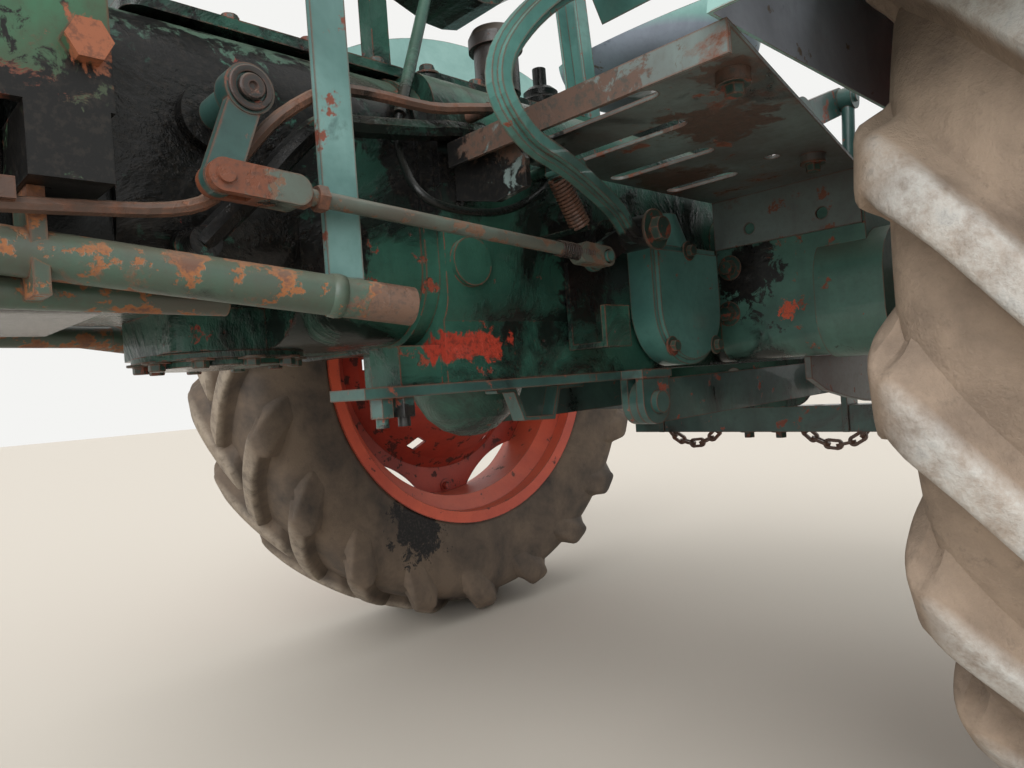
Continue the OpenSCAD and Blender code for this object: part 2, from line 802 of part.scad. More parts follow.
// Pipes and the control cable

module brake_pipe() {
  color(rust) from_flange()
    sweep(smooth([[779, 260, 1020], [820, 260, 1012], [880, 260, 1001], [970, 260, 999],
      [1021, 260, 989], [1075, 260, 952], [1115, 260, 908], [1148, 260, 862],
      [1190, 260, 845], [1260, 260, 839], [1330, 260, 835]], 3), ring(7, 8));
  color(rust) from_flange() {
    pin_y(782, 1020, casing_y + fit, 260, 8);
    translate([1310, 252, 838]) cube([20, 20, 856 - 838 - fit]);
  }
}

module oil_pipes() {
  color(green) from_flange()
    sweep(smooth([[770, 236, 994], [835, 236, 989], [870, 236, 982], [960, 236, 970],
      [1011, 236, 962], [1050, 236, 930], [1090, 234, 885], [1126, 228, 848],
      [1150, 224, 822]], 3),
      ring(13, 8));
  color(green) from_flange() {
    pin_y(774, 994, casing_y + fit, step_in - 0.6, 17);
    pin_y(1148, 824, 205 + fit, 234, 16);
  }
}

module control_cable() {
  color(black) from_flange() sweep(smooth(cable_route, 3), ring(5, 8));
}

// Wheels

rim_r = rim_d / 2;
bead_r = rim_r - 26;
well_r = bead_r - 42;
rim_t = 7;
lug_out = 13;
phase_left = 9.5;
phase_right = 2.9;

module tyre(phase) {
  r = tyre_d / 2;
  s = tyre_w / 2;
  b = rim_w / 2 - 12;
  tread = r - lug_h;
  color(rubber) from_flange() translate([0, tyre_y, axle_z]) across() {
    rotate_extrude($fn = 120) polygon([
      [bead_r + fit, -b], [rim_r + 12, -b - 4], [rim_r + 60, 4 - s],
      [rim_r + 110, -s], [tread - 52, 2 - s], [tread - 26, 10 - s], [tread - 11, 26 - s],
      [tread - 3, 56 - s], [tread, 107 - s], [tread, s - 107], [tread - 3, s - 56],
      [tread - 11, s - 26], [tread - 26, s - 10], [tread - 52, s - 2],
      [rim_r + 110, s], [rim_r + 60, s - 4], [rim_r + 12, b + 4], [bead_r + fit, b],
      [bead_r + 16, b - 26], [tread - 40, s - 40], [tread - 40, 40 - s],
      [bead_r + 16, 26 - b]]);
    for (side = [-1, 1]) intersection() {
      scale([1, 1, side]) lug_band(r, s, tread);
      for (k = [0 : lug_count - 1])
        rotate(-phase + (k + (side > 0 ? 0.5 : 0)) * 360 / lug_count)
          scale([1, 1, side]) lug(tread, s);
    }
  }
}

// The ring that one side's lugs fill: its outside is the lugs' top and end
module lug_band(r, s, tread) {
  e = s + lug_out;
  rotate_extrude($fn = 120) polygon([
    [tread - 10, -12], [r - 6, -12], [r, 4], [r - 3, s - 68], [r - 12, s - 4],
    [r - 22, e - 3], [r - 44, e], [r - 76, e - 5], [r - 112, s + 1],
    [r - 116, s - 8], [r - 66, s - 16], [tread - 18, s - 32]]);
}

// One lug, from past the middle of the tread to the flank, cut square
module lug(tread, s) {
  w = lug_w / 2;
  line = [[lug_lean * 1.1, -14], [lug_lean * 0.44, s / 2], [0, s - 12], [-8, s + 40]];
  translate([tread - 90, 0, 0]) rotate([90, 0, 90]) linear_extrude(150)
    polygon(concat([for (p = line) [p[0] + w, p[1]]],
      [for (i = [3 : -1 : 0]) [line[i][0] - w, line[i][1]]]));
}

module rim() {
  w = rim_w / 2;
  color(orange) from_flange() translate([0, tyre_y, axle_z]) across()
    rotate_extrude($fn = 120) polygon([
      [rim_r, -w], [rim_r, -w + 6], [bead_r, -w + 11], [bead_r, -w + 50],
      [well_r, -w + 78], [well_r, w - 78], [bead_r, w - 50], [bead_r, w - 11],
      [rim_r, w - 6], [rim_r, w], [bead_r - rim_t, w - 5], [bead_r - rim_t, w - 46],
      [well_r - rim_t, w - 74], [well_r - rim_t, -w + 74], [bead_r - rim_t, -w + 46],
      [bead_r - rim_t, -w + 5]]);
}

disc_t = 8;
disc_out = 58;
lobe_count = 6;
module disc() {
  r = well_r - rim_t - fit;
  color(orange) from_flange() translate([0, tyre_y, axle_z]) across()
    difference() {
      rotate_extrude($fn = 96) polygon([
        [60, -150], [150, -150], [190, -140], [300, 20], [330, disc_out - disc_t],
        [r, disc_out - disc_t], [r, disc_out], [325, disc_out], [292, 24],
        [184, -132], [148, -150 + disc_t], [60, -150 + disc_t]]);
      for (k = [0 : 7]) rotate(k * 45) translate([105, 0, -160])
        cylinder(d = 20, h = 30, $fn = 24);
      for (k = [0 : lobe_count - 1]) rotate((k + 0.5) * 360 / lobe_count + 90) {
        translate([r + 252, 0, disc_out - 30]) cylinder(r = 295, h = 60, $fn = 96);
        translate([262, -15, -60]) cube([30, 30, 100]);
      }
    }
}

module hub() {
  color(orange) from_flange() {
    pin_y(0, axle_z, hub_y + fit - 60, hub_y + 15, axle_r);
    pin_y(0, axle_z, hub_y, hub_y + 15 - fit, hub_d / 2);
    pin_y(0, axle_z, hub_y + 10, hub_y + 60, 58);
  }
}

// Hitch links

bar_x = -300;
bar_z = 497;
link_end = [-311, 627];

module link_bars() {
  color(green) from_flange() for (s = [-1, 1]) scale([1, s, 1]) difference() {
    union() {
      along_y(link_y - link_t / 2, link_y + link_t / 2)
        strip([link_pivot, link_end], link_h);
      pin_y(link_end[0], link_end[1], link_y - 22, link_y + 22, 34);
    }
    pin_y(link_pivot[0], link_pivot[1], 100, 400, link_pin_d / 2 + run);
    pin_y(link_end[0], link_end[1], 100, 400, ball_bore_d / 2);
  }
  color(green) from_flange() for (s = [-1, 1]) scale([1, s, 1])
    pin_y(rod_foot[0], rod_foot[1], link_y + link_t / 2 - 1, lift_y + 38, 10);
}

module cross_bar() {
  color(green) from_flange() difference() {
    union() {
      translate([bar_x - 25, -344, bar_z]) cube([50, 688, bar_h]);
      for (s = [-1, 1]) scale([1, s, 1]) {
        translate([bar_x - 30, link_y + 22 + fit, bar_z])
          cube([60, 14, link_end[1] + 30 - bar_z]);
        pin_y(link_end[0], link_end[1], link_y - 26, link_y + 23, ball_bore_d / 2 - fit);
        translate([bar_x - 24, chain_start[0] - 0.8, chain_start[1] - 3.2])
          rotate([0, -90, 0]) cylinder(r = 4, h = 42, $fn = 24);
      }
    }
    for (k = [-4 : 4]) translate([bar_x, k * 60, bar_z - 1])
      cylinder(d = bar_hole_d, h = bar_h + 2, $fn = 32);
  }
}

module check_chains() {
  n = 11;
  a = [for (i = [0 : n - 1]) 180 + max(-78, 68 - 18.25 * i)];
  joints = [for (i = [0 : n]) chain_start
    + chain_pitch * (i == 0 ? [0, 0] : sum_dirs(a, i))];
  color(rust) from_flange() for (s = [-1, 1]) scale([1, s, 1])
    for (i = [0 : n - 1])
      translate([bar_x - 45, (joints[i][0] + joints[i + 1][0]) / 2,
        (joints[i][1] + joints[i + 1][1]) / 2])
        rotate([a[i], 0, 0]) rotate([0, 90 - (i % 2) * 90, 0])
          translate([0, 0, -3.75]) linear_extrude(7.5) difference() {
            strip([[0, 5 - chain_pitch / 2], [0, chain_pitch / 2 - 5]], 26, 14);
            strip([[0, 5 - chain_pitch / 2], [0, chain_pitch / 2 - 5]], 11, 14);
          }
}

// Sum of the first n unit vectors at the angles of a
function sum_dirs(a, n) = n == 0 ? [0, 0]
  : sum_dirs(a, n - 1) + [cos(a[n - 1]), sin(a[n - 1])];
chain_pitch = 31;
chain_start = [292, 535];

// Lift arms and rods

arm_end = [-330, 1260];
rod_foot = [-250, 626];
lift_y = 262;

module lift_arms() {
  color(green) from_flange() {
    pin_y(lift_shaft_x, lift_shaft_z, -lift_y - 18, lift_y + 18, lift_shaft_r);
    for (s = [-1, 1]) scale([1, s, 1]) {
      along_y(lift_y - 18, lift_y + 6)
        strip([[lift_shaft_x, lift_shaft_z], arm_end], 60);
      pin_y(lift_shaft_x, lift_shaft_z, lift_y - 18, lift_y + 18, 44);
      pin_y(arm_end[0], arm_end[1], lift_y, lift_y + 44, 11);
    }
  }
}

module lift_rods() {
  d = unit(rod_foot - arm_end);
  color(green) from_flange() for (s = [-1, 1]) scale([1, s, 1]) difference() {
    union() {
      rod([arm_end[0], lift_y + 22, arm_end[1]], [rod_foot[0], lift_y + 22, rod_foot[1]], 14);
      rod([arm_end[0] + 200 * d[0], lift_y + 22, arm_end[1] + 200 * d[1]],
        [arm_end[0] + 380 * d[0], lift_y + 22, arm_end[1] + 380 * d[1]], 19);
      for (p = [arm_end, rod_foot])
        pin_y(p[0], p[1], lift_y + 6 + fit, lift_y + 38, 26);
    }
    pin_y(arm_end[0], arm_end[1], 200, 400, 11 + run);
    pin_y(rod_foot[0], rod_foot[1], 200, 400, 16.5);
  }
}

clutch_housing();
input_shaft();
gearbox_casing();
gearbox_sump();
rear_casing();
drain_bowl();
rear_cover();
pto_shaft();
top_cover();
filler_cap();
gear_lever();
lift_housing();
steering_pedestal();
axle_tube();  // axle_tube_left
right_hand() axle_tube();  // axle_tube_right
brake_cover();  // brake_cover_left
right_hand() brake_cover();  // brake_cover_right
footplate();  // footplate_left
right_hand() footplate();  // footplate_right
fender();  // fender_left
right_hand() fender();  // fender_right
seat_pan();
seat_support();
hitch_plate();
link_brackets();
sway_plates();
side_plates();
side_tubes();
tube_hangers();
pedal_brackets();
pedal_spring();
brake_pipe();
oil_pipes();
control_cable();
tyre(phase_left);  // tyre_left
right_hand() tyre(phase_right);  // tyre_right
rim();  // rim_left
right_hand() rim();  // rim_right
disc();  // disc_left
right_hand() disc();  // disc_right
hub();  // hub_left
right_hand() hub();  // hub_right
clutch_pedal();
clutch_lever();
clutch_rod();
brake_pedals();
link_bars();
cross_bar();
check_chains();
lift_arms();
lift_rods();
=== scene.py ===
# %% [markdown]
# Rear transmission unit of an old tractor, seen from low on its left side.
# The unit hangs together from the engine flange back: clutch housing,
# gearbox, rear axle, two lugged wheels, footplates, fenders, seat and hitch.
# Every coordinate here is in metres, with x forward, y to the left and z up,
# and the origin is the centre of the engine flange.

# %% Frame
import math

import bpy
import numpy as np
from mathutils import Matrix, Vector


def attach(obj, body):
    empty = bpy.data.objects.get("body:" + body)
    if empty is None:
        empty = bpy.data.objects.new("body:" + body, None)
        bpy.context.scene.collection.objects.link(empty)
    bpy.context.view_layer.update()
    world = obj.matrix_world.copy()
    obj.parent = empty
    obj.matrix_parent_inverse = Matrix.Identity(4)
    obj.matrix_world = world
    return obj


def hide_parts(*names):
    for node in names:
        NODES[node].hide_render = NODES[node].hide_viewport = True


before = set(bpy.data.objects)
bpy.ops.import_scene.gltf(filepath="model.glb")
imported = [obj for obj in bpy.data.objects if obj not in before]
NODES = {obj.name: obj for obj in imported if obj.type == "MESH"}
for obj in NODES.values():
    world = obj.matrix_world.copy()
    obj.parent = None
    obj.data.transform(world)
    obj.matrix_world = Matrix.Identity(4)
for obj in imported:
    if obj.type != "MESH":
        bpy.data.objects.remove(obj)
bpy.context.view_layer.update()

# %% [markdown]
# The places that everything else is measured from. The rear axle lies behind
# and below the flange, and the ground is one tyre radius below the axle. The
# places further on are easier to measure from the point on the ground under
# the axle, so one helper moves such a point into the flange's frame.

# %% Driving places
FLANGE_X = 1.420
FLANGE_Z = 0.945
TYRE_Y = 0.850
TYRE_R = 0.745
AXLE = np.array([-FLANGE_X, 0.0, TYRE_R - FLANGE_Z])
GROUND_Z = -FLANGE_Z


def from_axle(x, y, z):
    """A point given from the ground under the axle, in the flange's frame."""
    return np.array([x - FLANGE_X, y, z - FLANGE_Z])


print("axle at", AXLE.tolist())

# %% [markdown]
# The picture is taken from low beside the gearbox with a wide lens, looking
# back and across under the footplate. A camera matrix is built from its yaw,
# pitch and roll: the columns are its right, its up and its back direction.

# %% Camera
PHOTO_WIDTH = 1024
FOCAL_PIXELS = 740
YAW, PITCH, ROLL = map(math.radians, (43.61, -0.16, -4.13))
CAMERA_PLACE = Vector(from_axle(1.438, 0.954, 0.666))


def make_camera(place):
    """A camera at place that looks along -y, turned by YAW towards -x."""
    forward = Vector((-math.sin(YAW) * math.cos(PITCH),
                      -math.cos(YAW) * math.cos(PITCH), math.sin(PITCH)))
    right = Vector((-math.cos(YAW), math.sin(YAW), 0.0))
    up = right.cross(forward)
    r = right * math.cos(ROLL) + up * math.sin(ROLL)
    u = up * math.cos(ROLL) - right * math.sin(ROLL)
    data = bpy.data.cameras.new("camera")
    data.sensor_width = 36.0
    data.lens = FOCAL_PIXELS / PHOTO_WIDTH * data.sensor_width
    data.clip_start = 0.02
    camera = bpy.data.objects.new("camera", data)
    bpy.context.scene.collection.objects.link(camera)
    axes = Matrix((r, u, -forward)).transposed()
    camera.matrix_world = Matrix.Translation(place) @ axes.to_4x4()
    return camera


bpy.context.scene.camera = make_camera(CAMERA_PLACE)
bpy.context.scene.view_settings.view_transform = "Standard"
print("lens", round(bpy.context.scene.camera.data.lens, 2), "mm")

# %% [markdown]
# Helpers for shapes. A surface is a grid of points, rows by columns, and its
# faces join neighbouring points. Rows or columns may close on themselves,
# and an open end may get a cap, so that a piece is always a closed skin.

# %% Grids to meshes


def grid_faces(rows, cols, close_rows=False, close_cols=False, caps=False):
    """Quads between the points i * cols + j, with optional end polygons."""
    i = np.arange(rows if close_rows else rows - 1)[:, None]
    j = np.arange(cols if close_cols else cols - 1)[None, :]
    a = i * cols + j
    b = i * cols + (j + 1) % cols
    c = ((i + 1) % rows) * cols + (j + 1) % cols
    d = ((i + 1) % rows) * cols + j
    faces = np.stack([a, b, c, d], -1).reshape(-1, 4).tolist()
    if caps:
        faces.append(list(range(cols - 1, -1, -1)))
        faces.append(list(range((rows - 1) * cols, rows * cols)))
    return faces


class Shape:
    """Collects grids of points into one mesh, all riding on one body."""

    def __init__(self):
        self.points = []
        self.faces = []
        self.count = 0

    def add(self, grid, **kind):
        """Adds a grid of shape (rows, cols, 3)."""
        rows, cols = grid.shape[:2]
        faces = grid_faces(rows, cols, **kind)
        self.faces += [[v + self.count for v in f] for f in faces]
        self.points.append(grid.reshape(-1, 3))
        self.count += rows * cols

    def make(self, name, body, material, smooth):
        """Turns what was collected into an object that rides on a body. Edges
        sharper than smooth, in degrees, stay sharp."""
        mesh = bpy.data.meshes.new(name)
        mesh.from_pydata(np.concatenate(self.points).tolist(), [], self.faces)
        mesh.materials.append(material)
        obj = bpy.data.objects.new(name, mesh)
        bpy.context.scene.collection.objects.link(obj)
        mesh.polygons.foreach_set("use_smooth", [True] * len(mesh.polygons))
        mesh.set_sharp_from_angle(angle=math.radians(smooth))
        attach(obj, body)
        print(name, "has", len(mesh.polygons), "faces")
        return obj


def smooth_path(points, steps):
    """Catmull-Rom curve: each span is a cubic through its two end points."""
    p = np.asarray(points, float)
    q = np.vstack([p[:1], p, p[-1:]])
    t = np.linspace(0, 1, steps, endpoint=False)[None, :, None]
    a, b, c, d = (q[k:len(q) - 3 + k, None, :] for k in range(4))
    curve = 0.5 * (2 * b + (c - a) * t + (2 * a - 5 * b + 4 * c - d) * t ** 2
                   + (3 * b - a - 3 * c + d) * t ** 3)
    return np.vstack([curve.reshape(-1, p.shape[1]), p[-1:]])


def tube(path, radius, sides):
    """A round tube: at each point a ring across the path's direction."""
    path = np.asarray(path, float)
    t = np.gradient(path, axis=0)
    t /= np.linalg.norm(t, axis=1)[:, None]
    ref = np.where(np.abs(t[:, 1:2]) < 0.9, [[0.0, 1.0, 0.0]], [[0.0, 0.0, 1.0]])
    n = np.cross(ref, t)
    n /= np.linalg.norm(n, axis=1)[:, None]
    b = np.cross(t, n)
    a = np.linspace(0, 2 * np.pi, sides, endpoint=False)
    ring = np.cos(a)[None, :, None] * n[:, None] + np.sin(a)[None, :, None] * b[:, None]
    return path[:, None] + radius * ring


def turned(profile, centre, axis, sides, corners=None):
    """Turns (radius, height) points round an axis. With corners the radius
    follows a polygon, r / cos of the angle from the middle of its side, but
    reaches no further out than the third number of its point."""
    z = np.asarray(axis, float) / np.linalg.norm(axis)
    x = np.cross(z, [0.0, 0.0, 1.0] if abs(z[2]) < 0.9 else [1.0, 0.0, 0.0])
    x /= np.linalg.norm(x)
    y = np.cross(z, x)
    a = np.linspace(0, 2 * np.pi, sides, endpoint=False)
    p = np.asarray(profile, float)
    r = np.repeat(p[:, :1], sides, 1)
    if corners:
        step = 2 * np.pi / corners
        r = np.minimum(r / np.cos((a % step) - step / 2), p[:, 2:3])
    ring = r[..., None] * (np.cos(a)[:, None] * x + np.sin(a)[:, None] * y)
    return np.asarray(centre, float) + ring + p[:, 1, None, None] * z


def bolt_profile(flats, height, washer):
    """Side view of a hexagon head with a chamfered top, and its washer. Each
    point is its flat's distance, its height and the farthest it may reach."""
    w = flats * 0.95
    f = flats / 2
    side = []
    if washer:
        side = [[w, 0.0, w], [w, washer * 0.8, w], [w * 0.97, washer, w * 0.97]]
    return side + [[f, washer, 1.0], [f, washer + height * 0.8, 1.0],
                   [f, washer + height, f * 1.02], [f * 0.55, washer + height, f * 0.55]]


def add_bolt(shape, place, axis, flats=0.019, height=0.011, washer=0.003):
    """One hexagon bolt head that is let 1 mm into place and points along axis."""
    start = np.asarray(place) - 0.001 * np.asarray(axis)
    head = turned(bolt_profile(flats, height, washer), start, axis, 24, 6)
    shape.add(head, close_cols=True, caps=True)


print("shape helpers ready")

# %% [markdown]
# Materials here are wired in Python, which would be long without a few
# helpers. One makes a node and fills its sockets, two do sums with numbers
# and with vectors, one lays a colour over another, and one turns a value
# into a mask with a soft edge. Each gives back the socket that comes out.

# %% Node helpers


def fill(tree, socket, value):
    """Links another node's output to a socket, or sets the socket's own value."""
    if isinstance(value, bpy.types.NodeSocket):
        tree.links.new(value, socket)
    else:
        socket.default_value = value


def make_node(tree, kind, **values):
    """A shader node. Names of sockets, or in0, in1 and so on, fill its
    sockets, and other names are its settings."""
    node = tree.nodes.new(kind)
    for key, value in values.items():
        name = key.replace("_", " ")
        if name in node.inputs and not hasattr(node, key):
            fill(tree, node.inputs[name], value)
        elif key.startswith("in") and key[2:].isdigit():
            fill(tree, node.inputs[int(key[2:])], value)
        else:
            setattr(node, key, value)
    return node


def maths(tree, operation, a, b=0.0, clamp=False):
    """One Math node, and its result."""
    return make_node(tree, "ShaderNodeMath", operation=operation, use_clamp=clamp,
                     in0=a, in1=b).outputs[0]


def vector_maths(tree, operation, a, b=(0.0, 0.0, 0.0)):
    """One Vector Math node, and its result: a number for a length or a dot
    product, else a vector."""
    node = make_node(tree, "ShaderNodeVectorMath", operation=operation, in0=a)
    fill(tree, node.inputs["Scale" if operation == "SCALE" else 1], b)
    return node.outputs["Value" if operation in ("LENGTH", "DOT_PRODUCT") else "Vector"]


def mixed(tree, amount, a, b):
    """Colour a, covered by colour b where amount is 1. On a Mix node set to
    colours, sockets 6 and 7 take them and output 2 gives the answer."""
    node = make_node(tree, "ShaderNodeMix", data_type="RGBA", in0=amount, in6=a, in7=b)
    return node.outputs[2]


def noise(tree, vector, scale, detail, rough=0.6, twist=0.0):
    """Noise from 0 to 1 at points of vector. Detail adds finer layers, rough
    says how much they count, and twist bends the noise by itself."""
    return make_node(tree, "ShaderNodeTexNoise", Vector=vector, Scale=scale, Detail=detail,
                     Roughness=rough, Distortion=twist).outputs["Fac"]


def parts_of(tree, vector):
    """The X, Y and Z outputs of a vector."""
    return make_node(tree, "ShaderNodeSeparateXYZ", in0=vector).outputs


def object_place(tree):
    """Object coordinates, which are the frame's own metres on every piece."""
    return make_node(tree, "ShaderNodeTexCoord").outputs["Object"]


def steep(tree, value, start, width):
    """0 below start, 1 above start + width, straight between."""
    low = maths(tree, "SUBTRACT", value, start)
    return maths(tree, "DIVIDE", low, width, clamp=True)


def new_group(name, inputs, outputs):
    """A shader node group with named sockets, and its two end nodes."""
    group = bpy.data.node_groups.new(name, "ShaderNodeTree")
    for label, kind, value in inputs:
        socket = group.interface.new_socket(label, in_out="INPUT", socket_type=kind)
        socket.default_value = value
    for label, kind in outputs:
        group.interface.new_socket(label, in_out="OUTPUT", socket_type=kind)
    return group, group.nodes.new("NodeGroupInput"), group.nodes.new("NodeGroupOutput")


COLOUR, NUMBER, VECTOR = "NodeSocketColor", "NodeSocketFloat", "NodeSocketVector"
LAYER_OUTPUTS = [("Color", COLOUR), ("Roughness", NUMBER), ("Height", NUMBER)]


def rgb(red, green, blue):
    """A screen colour from 0 to 255, made linear by the sRGB curve."""
    c = np.array([red, green, blue]) / 255.0
    linear = np.where(c <= 0.04045, c / 12.92, ((c + 0.055) / 1.055) ** 2.4)
    return (*linear.tolist(), 1.0)


print("node helpers ready")

# %% [markdown]
# The paint is decades old: two greens mottle each other, chips open to red
# primer, deeper ones to rust, black grease has crept over the lower castings
# and pale dust lies on what faces up. One node group mixes those layers from
# noise of several sizes, and each finish only turns the amounts.

# %% Weathered paint group
GREASE_BLACK = rgb(16, 18, 17)
DRY_DUST = rgb(150, 138, 120)


def build_weathering():
    """Layers over one another: paint, primer chips, rust, grease, dust."""
    t, start, end = new_group("weathering", [
        ("Paint", COLOUR, rgb(40, 85, 70)), ("Shade", COLOUR, rgb(20, 50, 42)),
        ("Primer", COLOUR, rgb(128, 56, 40)), ("Rust", COLOUR, rgb(92, 58, 42)),
        ("Size", NUMBER, 1.0), ("Chips", NUMBER, 0.3), ("Edge", NUMBER, 0.6),
        ("Rusting", NUMBER, 0.2), ("Grease", NUMBER, 0.3), ("Dust", NUMBER, 0.2),
    ], LAYER_OUTPUTS)
    given = start.outputs
    where = vector_maths(t, "SCALE", object_place(t), given["Size"])
    broad = noise(t, where, 5.0, 5.0, 0.6, 0.4)
    middle = noise(t, where, 22.0, 6.0, 0.65)
    fine = noise(t, where, 110.0, 6.0, 0.7)

    # two tones of paint, speckled, with runs drawn out along z
    colour = mixed(t, steep(t, broad, 0.32, 0.36), given["Shade"], given["Paint"])
    speck = maths(t, "MULTIPLY", steep(t, fine, 0.50, 0.25), 0.35)
    colour = mixed(t, speck, colour, given["Shade"])
    stretched = make_node(t, "ShaderNodeMapping", Vector=where, Scale=(40.0, 40.0, 4.0))
    runs = steep(t, noise(t, stretched.outputs[0], 1.0, 3.0), 0.55, 0.2)
    colour = mixed(t, maths(t, "MULTIPLY", runs, 0.3), colour, given["Shade"])

    # worn edges, where the bevelled normal turns away from the true one
    normal = make_node(t, "ShaderNodeNewGeometry").outputs["Normal"]
    bevel = make_node(t, "ShaderNodeBevel", samples=4, Radius=0.004).outputs[0]
    edge = maths(t, "SUBTRACT", 1.0, vector_maths(t, "DOT_PRODUCT", normal, bevel))
    edge = maths(t, "MULTIPLY", steep(t, edge, 0.02, 0.18), given["Edge"])
    worn = maths(t, "MULTIPLY", edge, maths(t, "ADD", middle, 0.15))

    # chips to primer where noise and wear pass a limit, and deeper ones to rust
    limit = maths(t, "SUBTRACT", 0.80, maths(t, "MULTIPLY", given["Chips"], 0.30))
    flakes = maths(t, "ADD", middle, maths(t, "MULTIPLY", fine, 0.12))
    pits = steep(t, flakes, limit, 0.035)
    chips = maths(t, "ADD", flakes, maths(t, "MULTIPLY", worn, 0.9))
    chipped = steep(t, chips, limit, 0.035)
    deep = steep(t, chips, maths(t, "ADD", limit, 0.07), 0.06)
    bare = mixed(t, maths(t, "MULTIPLY", fine, 0.8), given["Primer"], given["Rust"])
    bare = mixed(t, deep, bare, given["Rust"])
    colour = mixed(t, chipped, colour, bare)

    # broad rust with a fine grain of the primer's colour
    limit = maths(t, "SUBTRACT", 0.80, maths(t, "MULTIPLY", given["Rusting"], 0.45))
    rusty = steep(t, noise(t, where, 11.0, 8.0, 0.7, 0.3), limit, 0.10)
    grain = mixed(t, steep(t, fine, 0.4, 0.3), given["Rust"], given["Primer"])
    grain = mixed(t, 0.55, grain, given["Rust"])
    colour = mixed(t, rusty, colour, grain)

    # grease, a little more of it on what faces down
    facing_up = parts_of(t, normal)["Z"]
    greasy = maths(t, "ADD", noise(t, where, 6.0, 7.0, 0.65, 0.6),
                   maths(t, "MULTIPLY", facing_up, -0.08))
    limit = maths(t, "SUBTRACT", 0.78, maths(t, "MULTIPLY", given["Grease"], 0.55))
    greasy = maths(t, "MULTIPLY", steep(t, greasy, limit, 0.12), 0.92)
    colour = mixed(t, greasy, colour, GREASE_BLACK)

    # dust on what faces up, and a trace of it elsewhere
    dusty = maths(t, "MULTIPLY", steep(t, facing_up, 0.25, 0.6), given["Dust"])
    dusty = maths(t, "ADD", dusty, maths(t, "MULTIPLY",
                  steep(t, broad, 0.45, 0.3), maths(t, "MULTIPLY", given["Dust"], 0.15)))
    dusty = maths(t, "MULTIPLY", dusty, maths(t, "ADD", middle, 0.35), clamp=True)
    colour = mixed(t, dusty, colour, DRY_DUST)

    # paint and grease shine, while primer, rust and dust are dull
    rough = maths(t, "ADD", 0.30, maths(t, "MULTIPLY", fine, 0.25))
    rough = maths(t, "MAXIMUM", rough, maths(t, "MULTIPLY", chipped, 0.75))
    rough = maths(t, "MAXIMUM", rough, maths(t, "MULTIPLY", rusty, 0.88))
    rough = maths(t, "SUBTRACT", rough, maths(t, "MULTIPLY", greasy, 0.22))
    rough = maths(t, "MAXIMUM", rough, maths(t, "MULTIPLY", dusty, 0.9), clamp=True)
    height = maths(t, "MULTIPLY", pits, -0.5)
    height = maths(t, "ADD", height, maths(t, "MULTIPLY", middle, 0.5))
    height = maths(t, "ADD", height, maths(t, "MULTIPLY", fine,
                   maths(t, "ADD", 0.25, maths(t, "MULTIPLY", rusty, 0.9))))
    height = maths(t, "ADD", height, maths(t, "MULTIPLY", greasy, 0.8))
    t.links.new(colour, end.inputs["Color"])
    t.links.new(rough, end.inputs["Roughness"])
    t.links.new(height, end.inputs["Height"])
    return t


WEATHERING = build_weathering()
print("weathering has", len(WEATHERING.nodes), "nodes")

# %% [markdown]
# A finish is one Principled material with that group in front of it. Its colours were judged
# beside the photograph, and the last few numbers say how much of each layer shows. Sheets
# keep low bump, while castings get more, because the sand of a mould leaves them rough.

# %% Finishes


def finish_material(name, group, bump=0.25, depth=0.002, metallic=0.0, coat=0.0,
                    shine=0.5, **values):
    """A Principled material that takes colour, roughness and bump from a group.
    Shine is how strongly it reflects what stands straight before it. Values
    are the group's own amounts and colours by name."""
    material = bpy.data.materials.new(name)
    material.use_nodes = True
    tree = material.node_tree
    shader = tree.nodes["Principled BSDF"]
    shader.inputs["Metallic"].default_value = metallic
    shader.inputs["Coat Weight"].default_value = coat
    shader.inputs["Specular IOR Level"].default_value = shine
    layers = make_node(tree, "ShaderNodeGroup", node_tree=group, **values)
    relief = make_node(tree, "ShaderNodeBump", Strength=bump, Distance=depth,
                       Height=layers.outputs["Height"])
    tree.links.new(relief.outputs[0], shader.inputs["Normal"])
    tree.links.new(layers.outputs["Color"], shader.inputs["Base Color"])
    tree.links.new(layers.outputs["Roughness"], shader.inputs["Roughness"])
    return material


casting_green = finish_material(
    "casting_green", WEATHERING, bump=0.7, depth=0.004, coat=0.1, shine=0.3,
    Paint=rgb(46, 92, 78), Shade=rgb(26, 56, 47), Primer=rgb(150, 62, 44), Chips=0.32,
    Edge=0.4, Rusting=0.14, Grease=0.58, Dust=0.22)
axle_green = finish_material(
    "axle_green", WEATHERING, bump=0.5, depth=0.003, coat=0.2,
    Paint=rgb(70, 114, 102), Shade=rgb(44, 70, 62), Primer=rgb(150, 70, 44), Chips=0.40,
    Edge=0.5, Rusting=0.30, Grease=0.35, Dust=0.35)
sheet_green = finish_material(
    "sheet_green", WEATHERING, Paint=rgb(104, 122, 120), Shade=rgb(76, 72, 68),
    Primer=rgb(128, 74, 56), Chips=0.42, Edge=0.9, Rusting=0.50, Grease=0.22, Dust=0.35)
worn_green = finish_material(
    "worn_green", WEATHERING, coat=0.4, Paint=rgb(80, 128, 120), Shade=rgb(44, 82, 76),
    Primer=rgb(146, 70, 50), Chips=0.38, Edge=0.8, Rusting=0.2, Grease=0.28, Dust=0.15)
pale_green = finish_material(
    "pale_green", WEATHERING, coat=0.2, Paint=rgb(116, 152, 148), Shade=rgb(70, 104, 100),
    Chips=0.38, Edge=0.8, Rusting=0.2, Grease=0.25, Dust=0.15)
tube_paint = finish_material(
    "tube_paint", WEATHERING, bump=0.4, Size=1.6, Paint=rgb(54, 82, 68),
    Shade=rgb(68, 60, 52), Primer=rgb(150, 92, 44), Rust=rgb(92, 62, 48),
    Chips=0.72, Edge=0.6, Rusting=0.55, Grease=0.25, Dust=0.25)
